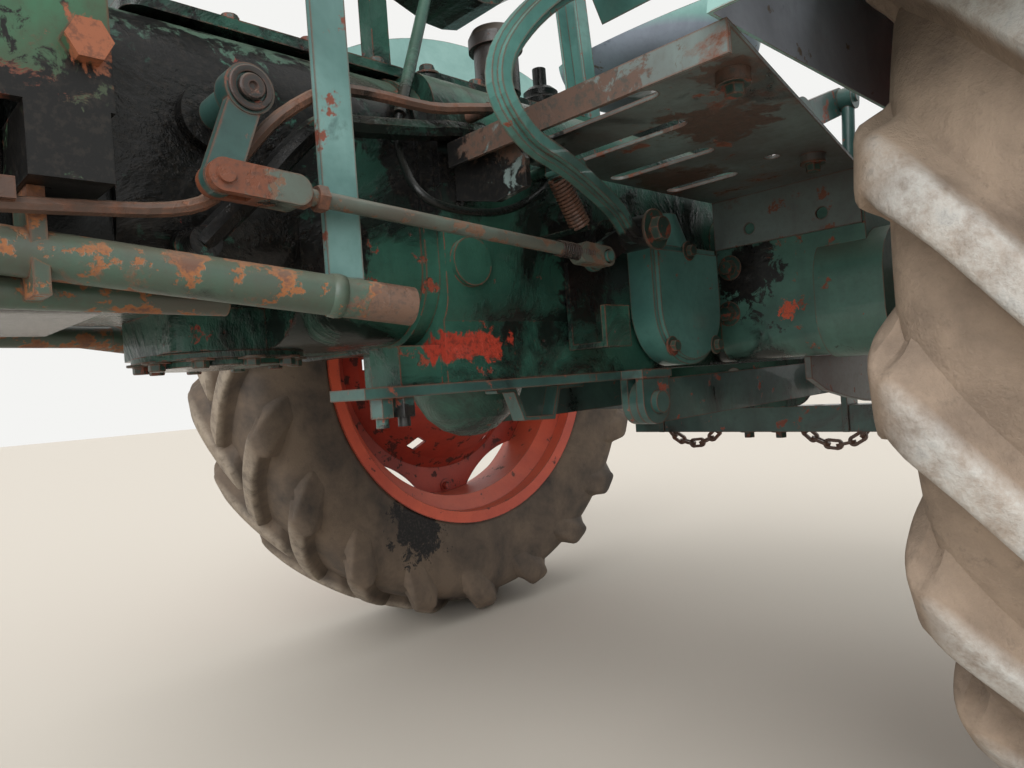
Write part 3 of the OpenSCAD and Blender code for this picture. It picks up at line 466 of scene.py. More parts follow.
rod_paint = finish_material(
    "rod_paint", WEATHERING, bump=0.4, Size=1.6, Paint=rgb(84, 98, 90),
    Shade=rgb(74, 68, 60), Primer=rgb(116, 86, 66), Rust=rgb(84, 66, 54),
    Chips=0.65, Edge=0.6, Rusting=0.50, Grease=0.25, Dust=0.25)
faded_green = finish_material(
    "faded_green", WEATHERING, Paint=rgb(138, 176, 170), Shade=rgb(104, 142, 136),
    Chips=0.15, Edge=0.5, Rusting=0.10, Grease=0.0, Dust=0.3)
# Mud set pale and bluish grey as painted light: it covers the fender sides that face the
# tyres and the seat pan's underside, which stand in shade.
caked_mud = finish_material(
    "caked_mud", WEATHERING, bump=0.9, depth=0.006, Paint=rgb(150, 158, 172),
    Shade=rgb(116, 120, 130), Primer=rgb(110, 98, 90), Rust=rgb(92, 80, 72),
    Chips=0.3, Edge=0.0, Rusting=0.2, Grease=0.15, Dust=0.4)
hitch_green = finish_material(
    "hitch_green", WEATHERING, coat=0.2, Paint=rgb(54, 92, 86), Shade=rgb(28, 50, 48),
    Primer=rgb(150, 70, 52), Chips=0.44, Edge=0.9, Rusting=0.22, Grease=0.38, Dust=0.25)
plate_green = finish_material(
    "plate_green", WEATHERING, coat=0.1, shine=0.3,
    Paint=rgb(52, 108, 80), Shade=rgb(64, 48, 38), Primer=rgb(140, 74, 52),
    Rust=rgb(84, 52, 40), Chips=0.42, Edge=0.8, Rusting=0.45, Grease=0.3, Dust=0.2)
# Painted shade: this black's paint is set darker than its grease alone, for the shade the
# clutch housing stands in under the parts above it.
greasy_black = finish_material(
    "greasy_black", WEATHERING, bump=0.8, depth=0.004, shine=0.25,
    Paint=rgb(10, 22, 18), Shade=rgb(6, 7, 7), Primer=rgb(130, 46, 32), Chips=0.2,
    Edge=0.2, Rusting=0.10, Grease=0.85, Dust=0.02)
rusted_iron = finish_material(
    "rusted_iron", WEATHERING, bump=0.6, Paint=rgb(98, 72, 58), Shade=rgb(60, 46, 40),
    Primer=rgb(140, 88, 60), Rust=rgb(80, 54, 42), Chips=0.5, Edge=0.5, Rusting=0.7,
    Grease=0.35, Dust=0.2)
dark_iron = finish_material(
    "dark_iron", WEATHERING, bump=0.6, Paint=rgb(58, 50, 46), Shade=rgb(34, 32, 32),
    Primer=rgb(120, 74, 54), Rust=rgb(64, 46, 40), Chips=0.35, Edge=0.5, Rusting=0.35,
    Grease=0.5, Dust=0.3)
rim_orange = finish_material(
    "rim_orange", WEATHERING, Paint=rgb(208, 84, 52), Shade=rgb(172, 64, 44),
    Primer=rgb(110, 46, 36), Rust=rgb(70, 42, 36), Chips=0.42, Edge=0.6, Rusting=0.25,
    Grease=0.05, Dust=0.25)
disc_red = finish_material(
    "disc_red", WEATHERING, Paint=rgb(188, 70, 50), Shade=rgb(138, 52, 44),
    Primer=rgb(96, 46, 40), Rust=rgb(62, 42, 38), Chips=0.6, Edge=0.6, Rusting=0.30,
    Grease=0.25, Dust=0.2)
machined_steel = finish_material(
    "machined_steel", WEATHERING, metallic=0.7, Paint=rgb(150, 148, 142),
    Shade=rgb(110, 108, 104), Chips=0.1, Edge=0.2, Rusting=0.35, Grease=0.3, Dust=0.1)
bolt_green = finish_material(
    "bolt_green", WEATHERING, Size=3.0, Paint=rgb(40, 74, 64), Shade=rgb(22, 40, 36),
    Chips=0.6, Edge=0.9, Rusting=0.5, Grease=0.3, Dust=0.3)
print("finishes:", len(bpy.data.materials))

# %% [markdown]
# Tractor rubber is never clean. Its flanks are grey-brown with dried mud,
# the lug tops are scuffed paler, and dark blotches of bare rubber break up
# both. The mud follows the noise, and the pale scuff follows the distance
# from the wheel's axis, which Object coordinates give for both wheels at once.

# %% Tyre rubber
BLOTCH_BROWN = rgb(52, 46, 42)


def build_rubber():
    """Mud over rubber, with a scuff where the radius passes the lug tops."""
    t, start, end = new_group("muddy_rubber", [
        ("Rubber", COLOUR, rgb(74, 66, 60)), ("Mud", COLOUR, rgb(124, 110, 95)),
        ("Scuff", COLOUR, rgb(152, 142, 128)), ("Mud amount", NUMBER, 0.6),
    ], LAYER_OUTPUTS)
    given = start.outputs
    place = object_place(t)
    from_hub = vector_maths(t, "SUBTRACT", place, AXLE.tolist())
    across_axle = vector_maths(t, "MULTIPLY", from_hub, (1.0, 0.0, 1.0))
    radius = vector_maths(t, "LENGTH", across_axle)
    broad = noise(t, place, 7.0, 6.0, 0.6, 0.3)
    middle = noise(t, place, 38.0, 6.0, 0.7)
    fine = noise(t, place, 220.0, 4.0, 0.7)
    mud = steep(t, maths(t, "ADD", broad, maths(t, "MULTIPLY", middle, 0.25)), 0.42, 0.32)
    mud = maths(t, "MULTIPLY", mud, given["Mud amount"])
    colour = mixed(t, mud, given["Rubber"], given["Mud"])
    # the scuff begins 20 mm under the lug tops
    top = steep(t, radius, TYRE_R - 0.020, 0.014)
    top = maths(t, "MULTIPLY", top, steep(t, middle, 0.25, 0.4))
    colour = mixed(t, maths(t, "MULTIPLY", top, 0.85), colour, given["Scuff"])
    dark = steep(t, middle, 0.58, 0.16)
    colour = mixed(t, maths(t, "MULTIPLY", dark, 0.45), colour, BLOTCH_BROWN)
    rough = maths(t, "ADD", 0.72, maths(t, "MULTIPLY", mud, 0.2))
    height = maths(t, "ADD", maths(t, "MULTIPLY", middle, 0.7),
                   maths(t, "MULTIPLY", fine, 0.3))
    t.links.new(colour, end.inputs["Color"])
    t.links.new(rough, end.inputs["Roughness"])
    t.links.new(height, end.inputs["Height"])
    return t


RUBBER = build_rubber()
# Two copies of one rubber: the near tyre's is painted paler as painted light, and the far
# tyre's darker as painted shade, for the tractor's shade that it stands in.
tyre_rubber = finish_material("tyre_rubber", RUBBER, bump=0.6, depth=0.003,
                              Rubber=rgb(50, 44, 40), Mud=rgb(126, 108, 90),
                              Scuff=rgb(150, 138, 122))
dusty_rubber = finish_material("dusty_rubber", RUBBER, bump=0.9, depth=0.005,
                               Rubber=rgb(100, 86, 74), Mud=rgb(172, 152, 132),
                               Scuff=rgb(186, 186, 182))
print("rubber ready")

# %% [markdown]
# Fenders and the seat pan wear two coats. Where a fender faces its tyre it is grey with
# thrown mud, and so is the pan's underside; these sides stand in shade, and their mud is
# painted a pale bluish grey as painted light. The mask comes from the surface's normal: the
# dot product of the normal with a direction is positive on the side that faces that way. The
# right fender is a mirror of the left one, so there the answer takes the sign of y.

# %% Two-sided sheet finishes


def build_facing():
    """1 where the normal points along the direction, 0 on the other side."""
    t, start, end = new_group("facing_side", [
        ("Direction", VECTOR, (0.0, 1.0, 0.0)), ("Mirrored", NUMBER, 0.0),
    ], [("Mask", NUMBER)])
    normal = make_node(t, "ShaderNodeNewGeometry").outputs["Normal"]
    along = vector_maths(t, "DOT_PRODUCT", normal, start.outputs["Direction"])
    half = maths(t, "SIGN", parts_of(t, object_place(t))["Y"])
    change = maths(t, "MULTIPLY", maths(t, "SUBTRACT", half, 1.0), start.outputs["Mirrored"])
    along = maths(t, "MULTIPLY", along, maths(t, "ADD", 1.0, change))
    t.links.new(steep(t, along, 0.25, 0.2), end.inputs["Mask"])
    return t


def two_sided(name, clean, mud_and_light, direction, mirrored):
    """Shows the second finish, mud painted pale as painted light, on the side that faces
    along a direction.
    """
    material = clean.copy()
    material.name = name
    tree = material.node_tree
    shader = tree.nodes["Principled BSDF"]
    layers, source = (next(n for n in m.node_tree.nodes if n.type == "GROUP")
                      for m in (material, mud_and_light))
    second = make_node(tree, "ShaderNodeGroup", node_tree=layers.node_tree)
    for a, b in zip(source.inputs, second.inputs):
        b.default_value = a.default_value
    mask = make_node(tree, "ShaderNodeGroup", node_tree=FACING, Direction=direction,
                     Mirrored=mirrored).outputs["Mask"]
    colour = mixed(tree, mask, layers.outputs["Color"], second.outputs["Color"])
    rough = maths(tree, "MAXIMUM", layers.outputs["Roughness"],
                  maths(tree, "MULTIPLY", mask, 0.8))
    tree.links.new(colour, shader.inputs["Base Color"])
    tree.links.new(rough, shader.inputs["Roughness"])
    return material


FACING = build_facing()
fender_paint = two_sided("fender_paint", faded_green, caked_mud, (0, 1, 0), 1.0)
seat_paint = two_sided("seat_paint", faded_green, caked_mud, (0, 0, -1), 0.0)
print("two-sided finishes ready")

# %% [markdown]
# Some stains sit where something happened: grease round a hub, red primer
# where a boot or a chain rubbed. Noise alone can't place them, so each one
# is a centre and a radius. The noise still breaks up its rim, because the
# mask is the noise plus what is left of the radius at that point.

# %% Placed stains


def build_spot():
    """Mask of one stain: half of what is left of its reach, which is 1 at the
    centre and 0 at the rim, is added to the grain, and the sum is cut off."""
    t, start, end = new_group("stain_spot", [
        ("Grain", NUMBER, 0.5), ("Centre", VECTOR, (0.0, 0.0, 0.0)),
        ("Reach", VECTOR, (0.1, 0.1, 0.1)),
    ], [("Mask", NUMBER)])
    given = start.outputs
    away = vector_maths(t, "SUBTRACT", object_place(t), given["Centre"])
    share = vector_maths(t, "LENGTH", vector_maths(t, "DIVIDE", away, given["Reach"]))
    inside = maths(t, "SUBTRACT", 1.0, share, clamp=True)
    mask = maths(t, "ADD", given["Grain"], maths(t, "MULTIPLY", inside, 0.5))
    mask = maths(t, "MULTIPLY", steep(t, mask, 0.66, 0.05), steep(t, inside, 0.0, 0.05))
    t.links.new(mask, end.inputs["Mask"])
    return t


def stain(material, spots, colours, size=34.0):
    """Lays stains over a material. A spot is its centre, the stretch of its
    three sides and its radius. Where finer noise is high, the second of the
    two colours breaks through the first."""
    tree = material.node_tree
    base = tree.nodes["Principled BSDF"].inputs["Base Color"]
    under = base.links[0].from_socket
    place = object_place(tree)
    grain = noise(tree, place, size, 9.0, 0.72, 0.5)
    mask = 0.0
    for centre, stretch, radius in spots:
        spot = make_node(tree, "ShaderNodeGroup", node_tree=STAIN_SPOT, Grain=grain,
                         Centre=from_axle(*centre).tolist(),
                         Reach=[radius * k for k in stretch])
        mask = maths(tree, "MAXIMUM", mask, spot.outputs["Mask"])
    broken = steep(tree, noise(tree, place, size * 4, 5.0, 0.7), 0.50, 0.12)
    shade = mixed(tree, maths(tree, "MULTIPLY", broken, 0.7), *colours)
    tree.links.new(mixed(tree, mask, under, shade), base)


STAIN_SPOT = build_spot()
# stretches of a stain along x, y and z
LONG = (1.0, 1.0, 0.30)
EVEN = (1.0, 1.0, 1.0)
# pairs of colours, the second of which breaks through the first
RED_PRIMER = rgb(150, 54, 40), rgb(84, 42, 34)
BLACK_GREASE = rgb(14, 14, 14), rgb(36, 32, 28)
ORANGE_RUST = rgb(190, 76, 44), rgb(110, 56, 40)
BOLT_RUST = rgb(140, 84, 58), rgb(92, 60, 46)
PLATE_RUST = rgb(100, 56, 42), rgb(60, 44, 36)
STEP_RUST = rgb(84, 64, 54), rgb(52, 56, 52)
FORK_RUST = rgb(108, 62, 42), rgb(76, 52, 42)
TUBE_RUST = rgb(98, 74, 60), rgb(72, 60, 52)
TYRE_OIL = rgb(24, 23, 23), rgb(60, 54, 50)
stain(casting_green, [
    ((0.800, 0.208, 0.717), LONG, 0.11), ((1.160, 0.170, 0.748), LONG, 0.11),
    ((1.145, 0.200, 0.850), EVEN, 0.055), ((1.079, 0.200, 1.031), EVEN, 0.03),
], RED_PRIMER)
stain(axle_green, [
    ((0.100, 0.320, 0.740), EVEN, 0.13), ((0.110, 0.440, 0.740), (1.0, 0.5, 1.0), 0.12),
    ((0.190, 0.290, 0.830), (1.0, 0.8, 0.7), 0.12),
], BLACK_GREASE)
stain(axle_green, [
    ((0.217, 0.363, 0.756), EVEN, 0.030), ((0.170, 0.470, 0.760), EVEN, 0.030),
], ORANGE_RUST, 90.0)
stain(casting_green, [
    ((1.130, 0.190, 0.930), (1.2, 1.0, 1.2), 0.20), ((1.000, 0.190, 1.000), EVEN, 0.11),
    ((0.990, 0.190, 0.840), EVEN, 0.08), ((0.570, 0.230, 0.840), EVEN, 0.12),
    ((0.530, 0.300, 0.873), EVEN, 0.05), ((0.850, 0.190, 0.960), EVEN, 0.10),
], BLACK_GREASE)
stain(plate_green, [((1.300, 0.250, 0.925), (1.0, 1.0, 0.3), 0.12)], PLATE_RUST)
stain(plate_green, [((1.270, 0.250, 0.885), EVEN, 0.13)], BLACK_GREASE)
stain(plate_green, [((1.256, 0.310, 0.969), EVEN, 0.045)], BOLT_RUST)
stain(sheet_green, [((0.810, 0.240, 0.950), EVEN, 0.17)], BLACK_GREASE)
stain(sheet_green, [
    ((0.833, 0.400, 0.955), (0.4, 1.8, 0.5), 0.12), ((0.600, 0.480, 0.968), EVEN, 0.11),
    ((0.420, 0.300, 0.968), EVEN, 0.11), ((0.730, 0.570, 0.968), EVEN, 0.06),
], STEP_RUST)
stain(worn_green, [((0.545, 0.300, 0.868), EVEN, 0.085)], BLACK_GREASE)
stain(rod_paint, [((1.156, 0.290, 0.870), EVEN, 0.07)], FORK_RUST)
stain(tube_paint, [((0.965, 0.296, 0.757), (1.0, 1.0, 0.6), 0.10)], TUBE_RUST)
stain(hitch_green, [((0.880, 0.170, 0.630), (1.0, 1.0, 0.4), 0.09)], BLACK_GREASE)
stain(greasy_black, [
    ((1.150, 0.220, 0.743), (1.2, 1.0, 0.3), 0.13), ((1.022, 0.190, 0.757), EVEN, 0.04),
    ((1.088, 0.220, 0.814), EVEN, 0.03),
], RED_PRIMER)
stain(tyre_rubber, [((0.252, -0.693, 0.296), EVEN, 0.14)], TYRE_OIL)
print("stains placed")

# %% [markdown]
# The frame's own nodes keep their shape and get their finish by name. A
# table from each finish to its pieces reads like a paint shop's list, and
# the cell prints any node that the list forgets.

# %% Finishes of the frame's pieces
FINISH_OF = {
    casting_green: """gearbox_casing gearbox_sump rear_casing rear_cover top_cover
        lift_housing steering_pedestal pedal_brackets drain_bowl oil_pipes""",
    axle_green: "axle_tube_left axle_tube_right",
    plate_green: "side_plates",
    sheet_green: "footplate_left footplate_right sway_plates",
    worn_green: """clutch_pedal brake_pedals seat_support brake_cover_left
        brake_cover_right""",
    tube_paint: "side_tubes",
    rod_paint: "clutch_rod",
    pale_green: "tube_hangers",
    fender_paint: "fender_left fender_right",
    seat_paint: "seat_pan",
    hitch_green: """hitch_plate link_brackets link_bars cross_bar lift_arms lift_rods
        clutch_lever""",
    greasy_black: "clutch_housing gear_lever control_cable",
    rusted_iron: "pedal_spring brake_pipe check_chains",
    dark_iron: "filler_cap",
    rim_orange: "rim_left rim_right",
    disc_red: "disc_left disc_right hub_left hub_right",
    machined_steel: "input_shaft pto_shaft",
    tyre_rubber: "tyre_right",
    dusty_rubber: "tyre_left",
}


def paint_nodes():
    """Gives every node of the frame the finish that FINISH_OF names."""
    done = set()
    for material, names in FINISH_OF.items():
        for name in names.split():
            NODES[name].data.materials.clear()
            NODES[name].data.materials.append(material)
            done.add(name)
    print("painted", len(done), "nodes; without a finish:", sorted(set(NODES) - done))


paint_nodes()

# %% [markdown]
# The tyre. Its carcass is a profile turned round the axle. Each lug is a bar
# that runs from just past the middle of the tread to the shoulder and a
# little down the flank, leaning forward as it goes, so that the two rows
# make a V. A bar is a trapezium with round shoulders, carried along its path.

# %% Tyres
LUGS = 20
LUG_LEAN = math.radians(14.0)
LUG_HALF = 0.0205
SHOULDER = 0.158
CARCASS = [(0.0, 0.707), (0.05, 0.7065), (0.10, 0.702), (0.135, 0.693),
           (0.153, 0.676), (0.161, 0.652), (0.1635, 0.615), (0.161, 0.575),
           (0.153, 0.53), (0.141, 0.498), (0.1305, 0.483), (0.126, 0.461)]
# each station: across, radius of the top, across and radius of the root, and
# how many degrees the flank's part leans back
LUG_LINE = [(-0.018, 0.7425, -0.014, 0.702, 0), (0.0, 0.745, 0.0, 0.702, 0),
            (0.07, 0.7435, 0.07, 0.700, 0), (0.118, 0.739, 0.110, 0.694, 0),
            (0.147, 0.733, 0.130, 0.685, 0.1), (0.165, 0.723, 0.142, 0.676, 0.4),
            (0.1745, 0.709, 0.149, 0.664, 1.1), (0.1775, 0.690, 0.152, 0.650, 2.1),
            (0.1755, 0.664, 0.154, 0.634, 3.5), (0.169, 0.635, 0.155, 0.615, 4.9),
            (0.160, 0.600, 0.155, 0.596, 6.2)]
# section of a lug: how far along the tread in half widths, and the share of
# its height there
LUG_REACH = [-1.55, -1.32, -1.17, -1.07, -0.98, -0.85, -0.60,
             0.55, 0.80, 1.0, 1.22, 1.55, 1.95, 2.4]
LUG_RISE = [0.0, 0.16, 0.42, 0.74, 0.91, 0.98, 1.0,
            1.0, 0.97, 0.88, 0.68, 0.38, 0.15, 0.0]


def round_axle(across, radius, angle, side):
    """A point at a radius and angle round the axle, across metres from the
    middle of the tyre on the given side."""
    return np.stack([AXLE[0] + radius * np.cos(angle),
                     side * TYRE_Y + across + 0 * angle,
                     AXLE[2] + radius * np.sin(angle)], -1)


def tyre_carcass(side):
    """The outer skin: the profile, mirrored, turned round the axle."""
    half = smooth_path(CARCASS, 4)
    skin = np.vstack([half[::-1] * [-1, 1], half[1:]])
    angle = np.linspace(0, 2 * np.pi, 192, endpoint=False)
    return round_axle(skin[None, :, 0], skin[None, :, 1], angle[:, None], side)


def lug(side, row, angle0):
    """One lug. Along it the angle falls by LUG_LEAN times (1 - q) ** 1.15,
    where q is the share of the way to the shoulder. Across it, the section
    rises from a root through a hollow flank to a flat top: steep in front,
    long and shallow behind. It swells towards the shoulder, and narrows
    again down the flank."""
    line = smooth_path(LUG_LINE, 3)
    q = np.clip(line[:, 0] / SHOULDER, -0.2, 1)
    angle = angle0 - LUG_LEAN * (1 - q) ** 1.15 + np.radians(line[:, 4])
    step = np.maximum(np.abs(np.gradient(line[:, 0])), 0.001)
    slope = np.gradient(angle) * TYRE_R / step
    wide = LUG_HALF * np.sqrt(1 + np.minimum(slope ** 2, 1.2)) / TYRE_R
    wide *= 1 + 0.40 * np.clip((q - 0.6) / 0.4, 0, 1) ** 1.5
    wide *= 1 - 0.25 * np.clip((line[:, 4] - 2) / 4.2, 0, 1)
    lift = np.repeat([LUG_RISE], len(q), 0)
    lift[0] *= 0.0
    lift[1] *= 0.75
    across = line[:, 2:3] + (line[:, 0:1] - line[:, 2:3]) * lift
    radius = line[:, 3:4] + (line[:, 1:2] - line[:, 3:4]) * lift
    at = angle[:, None] + np.array(LUG_REACH) * wide[:, None]
    return round_axle(row * across, radius, at, side)


def make_tyre(name, side, inner_phase, node, rubber):
    """A carcass and its two rows of lugs, half a pitch apart. The inner row
    is turned on by inner_phase, in degrees."""
    shape = Shape()
    shape.add(tyre_carcass(side), close_rows=True)
    pitch = 2 * math.pi / LUGS
    for row in (-1, 1):
        phase = math.radians(inner_phase) + (0 if row == -side else pitch / 2)
        for k in range(LUGS):
            grid = lug(side, row, phase + k * pitch)
            shape.add(grid if row > 0 else grid[:, ::-1], close_cols=True, caps=True)
    tyre = shape.make(name, "wheel_" + node.split("_")[1], rubber, 40)
    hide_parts(node)


make_tyre("tyre_with_lugs_left", 1, 7.4, "tyre_left", dusty_rubber)
make_tyre("tyre_with_lugs_right", -1, 2.9, "tyre_right", tyre_rubber)

# %% [markdown]
# Bolts. A hexagon head is a turned profile whose radius follows six flat
# sides: the polygon's radius is the flat's distance divided by the cosine of
# the angle from the middle of a side. The chamfer on top is the smaller of
# that radius and a round one. One mesh holds all the bolts of a body.

# %% Bolts
PX, PY, PZ = (np.eye(3)[k] for k in range(3))
TOP_COVER_Z = 1.0993
LIFT_FLANGE_Z = 1.1053
REAR_COVER_X = -0.2513
SUMP_CENTRE = (1.047, 0.719)
SUMP_BOLT_R = 0.093
STEP_DIMPLE_Z = 0.956
AXLE_BOX_X = 0.2047
BRAKE_COVER_Y = 0.2745
PEDAL_HUB = (0.530, 0.326, 0.873)
WHEEL_NUT_R = 0.105
LOBE_BOLT_R = 0.389
# width across the flats and height of a head
SMALL_HEAD = (0.017, 0.009)
LARGE_HEAD = (0.024, 0.014)


def bolts_of_unit(shape):
    """Heads on the covers, the sump, the footplates and the axle flanges."""
    for x in (0.372, 0.480, 0.700, 0.790):
        for y in (-0.145, 0.148):
            add_bolt(shape, from_axle(x, y, TOP_COVER_Z), PZ)
    for x in (-0.200, -0.105, -0.010, 0.085, 0.172):
        for y in (-0.162, 0.162):
            add_bolt(shape, from_axle(x, y, LIFT_FLANGE_Z), PZ)
    for y in (-0.168, 0.168):
        for z in (0.600, 0.720, 0.840, 0.960, 1.030):
            add_bolt(shape, from_axle(REAR_COVER_X, y, z), -PX)
    for k in range(10):
        a = math.radians(36 * k + 18)
        x, y = SUMP_BOLT_R * math.cos(a), SUMP_BOLT_R * math.sin(a)
        add_bolt(shape, from_axle(SUMP_CENTRE[0] + x, y, SUMP_CENTRE[1]), -PZ, *SMALL_HEAD)
    for side in (-1, 1):
        for x, y in ((0.731, 0.574), (0.348, 0.485)):
            add_bolt(shape, from_axle(x, side * y, STEP_DIMPLE_Z), -PZ)
        for y, z in ((0.258, 0.845), (0.250, 0.762)):
            add_bolt(shape, from_axle(AXLE_BOX_X, side * y, z), PX, *LARGE_HEAD)
        for x in (0.860, 0.960, 1.060, 1.150):
            add_bolt(shape, from_axle(x, side * 0.128, TOP_COVER_Z), PZ)
        x, y, z = PEDAL_HUB
        add_bolt(shape, from_axle(x, side * y, z), side * PY, 0.032, 0.014, 0.004)
        for x, z in ((0.300, 0.705), (0.430, 0.705), (0.365, 0.862)):
            add_bolt(shape, from_axle(x, side * BRAKE_COVER_Y, z), side * PY, *SMALL_HEAD)


def bolts_of_wheel(shape, side):
    """Eight wheel nuts round the hub, and one bolt in each lobe at the rim."""
    for k in range(8):
        a = math.radians(45 * k)
        spot = round_axle(-side * 0.142, WHEEL_NUT_R, np.array(a), side)
        add_bolt(shape, spot, side * PY, 0.027, 0.020)
    for k in range(6):
        a = math.radians(60 * k - 91)
        for across, out in ((0.050, -1), (0.058, 1)):
            spot = round_axle(side * across, LOBE_BOLT_R, np.array(a), side)
            add_bolt(shape, spot, out * side * PY, 0.022, 0.012)


def make_bolts():
    """One object of bolts for each body that has some."""
    unit = Shape()
    bolts_of_unit(unit)
    unit.make("bolts_of_unit", "rear_unit", bolt_green, 30)
    for side, name in ((1, "wheel_left"), (-1, "wheel_right")):
        wheel = Shape()
        bolts_of_wheel(wheel, side)
        wheel.make("bolts_of_" + name, name, disc_red, 30)
    bar = Shape()
    for y in (-0.005, 0.080):
        add_bolt(bar, from_axle(-0.300, y, 0.497), -PZ, *LARGE_HEAD)
    bar.make("bolts_of_cross_bar", "lower_links", bolt_green, 30)


make_bolts()

# %% [markdown]
# Small pieces of the clutch linkage: lock nuts on the rod, soft wire that
# was wound round its rear end to hold the eye, and a snap ring on the end of
# the lever's hub. The wire is a helix: a circle's sine and cosine round the
# rod's line, moved on a little with every turn. The side tubes below the rod
# each get their rolled collar, a profile turned round the tube's line.

# %% Linkage and tube details
ROD_A = from_axle(1.156, 0.292, 0.870)
ROD_B = from_axle(0.611, 0.292, 0.833)
WIRE_LOOP_R = 0.0102
WIRE_R = 0.0011
WIRE_WOBBLE = 0.0004
POINTS_A_TURN = 14


def on_rod(x):
    """The point of the rod's centre line at x, in metres from the axle."""
    t = (ROD_A[0] - (x - FLANGE_X)) / (ROD_A[0] - ROD_B[0])
    return ROD_A + t * (ROD_B - ROD_A)


def straight(start, end):
    """The direction from start to end, one metre long."""
    return (end - start) / np.linalg.norm(end - start)


def helix(start, end, radius, turns):
    """A line that winds round the straight from start to end."""
    axis = straight(start, end)
    n = np.cross(axis, PY)
    n /= np.linalg.norm(n)
    b = np.cross(axis, n)
    t = np.linspace(0, 1, turns * POINTS_A_TURN + 1)[:, None]
    a = 2 * np.pi * turns * t
    return start + t * (end - start) + radius * (np.cos(a) * n + np.sin(a) * b)


def make_rod_details():
    """Two nuts behind the fork, and the wire near the rear eye."""
    along = straight(ROD_B, ROD_A)
    nuts = Shape()
    for x, thick in ((1.0695, 0.016), (1.050, 0.011)):
        add_bolt(nuts, on_rod(x), along, 0.024, thick, 0.0)
    nuts.make("rod_nuts", "clutch_rod", rusted_iron, 30)
    wire = Shape()
    rng = np.random.default_rng(4)
    for start, end, turns in ((0.705, 0.668, 9), (0.672, 0.640, 7), (0.690, 0.650, 5)):
        line = helix(on_rod(start), on_rod(end), WIRE_LOOP_R, turns)
        line += rng.normal(0, WIRE_WOBBLE, line.shape)
        wire.add(tube(line, WIRE_R, 6), close_cols=True, caps=True)
    wire.make("rod_wire", "clutch_rod", dark_iron, 60)


def make_tube_details():
    """The rolled collar round each side tube, behind its hanger bar."""
    ring = [(0.0180, -0.009), (0.0222, -0.007), (0.0232, 0.0), (0.0222, 0.007),
            (0.0180, 0.009)]
    shape = Shape()
    for side in (-1, 1):
        back = from_axle(0.956, side * 0.298, 0.756)
        along = straight(back, from_axle(1.388, side * 0.214, 0.815))
        shape.add(turned(ring, back + 0.085 * along, along, 32), close_cols=True,
                  close_rows=True)
    shape.make("tube_collars", "rear_unit", tube_paint, 60)


def make_hub_details():
    """A snap ring and the shaft's end on the clutch lever's hub."""
    shape = Shape()
    centre = from_axle(1.123, 0.299, 0.957)
    ring = [(0.0150, 0.0), (0.0150, 0.0030), (0.0165, 0.0036), (0.0200, 0.0036),
            (0.0212, 0.0028), (0.0212, 0.0)]
    shape.add(turned(ring, centre, PY, 40), close_cols=True, close_rows=True)
    end = [(0.0125, -0.001), (0.0125, 0.0055), (0.0110, 0.0075), (0.0045, 0.0075),
           (0.0035, 0.0050)]
    shape.add(turned(end, centre, PY, 32), close_cols=True, caps=True)
    shape.make("lever_hub_ring", "clutch_lever", dark_iron, 30)


make_rod_details()
make_tube_details()
make_hub_details()

# %% [markdown]
# The floor and the light. The floor is pale and plain, the sky an even soft
# white, and one wide sun gives the parts their form. A second, low and very
# wide, stands for the bright open yard that the tractor faces.

# %% Floor and light


def plain_material(name, colour, rough):
    """One even colour, for the floor only."""
    material = bpy.data.materials.new(name)
    material.use_nodes = True
    shader = material.node_tree.nodes["Principled BSDF"]
    shader.inputs["Base Color"].default_value = colour
    shader.inputs["Roughness"].default_value = rough
    return material


def make_floor(size):
    """One large square at the ground, size metres wide."""
    mesh = bpy.data.meshes.new("floor")
    s = size / 2
    mesh.from_pydata([(-s, -s, GROUND_Z), (s, -s, GROUND_Z), (s, s, GROUND_Z),
                      (-s, s, GROUND_Z)], [], [(0, 1, 2, 3)])
    floor = bpy.data.objects.new("floor", mesh)
    bpy.context.scene.collection.objects.link(floor)
    mesh.materials.append(plain_material("floor_pale", rgb(188, 181, 170), 0.9))


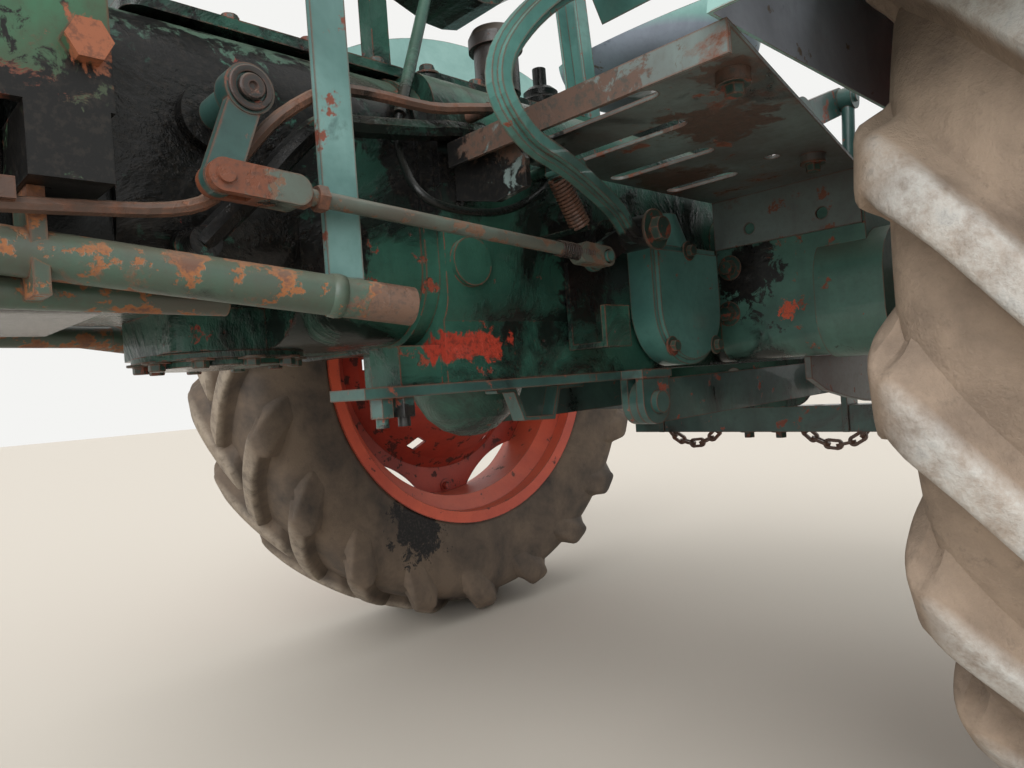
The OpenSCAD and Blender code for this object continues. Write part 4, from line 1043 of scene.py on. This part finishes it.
def make_sky(light, seen):
    """A world that lights with one grey and shows the camera a paler one."""
    world = bpy.data.worlds.new("sky")
    world.use_nodes = True
    tree = world.node_tree
    tree.nodes.clear()
    path = make_node(tree, "ShaderNodeLightPath").outputs
    ray = maths(tree, "MAXIMUM", path["Is Camera Ray"], path["Is Glossy Ray"])
    lamp = make_node(tree, "ShaderNodeBackground", Color=(1, 1, 1, 1), Strength=light)
    back = make_node(tree, "ShaderNodeBackground", Color=seen, Strength=1.0)
    choice = make_node(tree, "ShaderNodeMixShader", in0=ray, in1=lamp.outputs[0],
                       in2=back.outputs[0])
    make_node(tree, "ShaderNodeOutputWorld", Surface=choice.outputs[0])
    bpy.context.scene.world = world


def make_sun(name, strength, azimuth, height, spread):
    """A sun that shines from azimuth, counted from +x to +y, and height."""
    data = bpy.data.lights.new(name, "SUN")
    data.energy = strength
    data.angle = math.radians(spread)
    sun = bpy.data.objects.new(name, data)
    bpy.context.scene.collection.objects.link(sun)
    a, h = math.radians(azimuth), math.radians(height)
    back = Vector((math.cos(a) * math.cos(h), math.sin(a) * math.cos(h), math.sin(h)))
    sun.rotation_mode = "QUATERNION"
    sun.rotation_quaternion = back.to_track_quat("Z", "Y")


make_floor(40.0)
make_sky(1.15, rgb(244, 244, 242))
make_sun("sun", 1.7, 44, 38, 40)
make_sun("low_light", 1.5, 22, 7, 60)
print("stage ready")

# %% [markdown]
# The control cable hangs in a loop from its rod to a clip on the casing. It
# is a free piece, so it follows the same route as the frame's own cable,
# whose points are in millimetres from the ground under the axle.

# %% Control cable
CABLE_ROUTE = [(890, 212, 1005), (894, 213, 992), (896, 214, 978), (904, 227, 953),
               (923, 262, 920), (928, 287, 890), (905, 297, 873), (840, 292, 872),
               (765, 275, 890), (690, 252, 926), (668, 245, 944)]
CABLE_R = 0.005


def make_cable():
    """A tube along the smooth curve through the route's points."""
    route = np.array([from_axle(*(c / 1000 for c in p)) for p in CABLE_ROUTE])
    line = smooth_path(route, 6)
    shape = Shape()
    shape.add(tube(line, CABLE_R, 12), close_cols=True, caps=True)
    cable = shape.make("cable_sheath", "rear_unit", greasy_black, 60)
    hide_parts("control_cable")


make_cable()
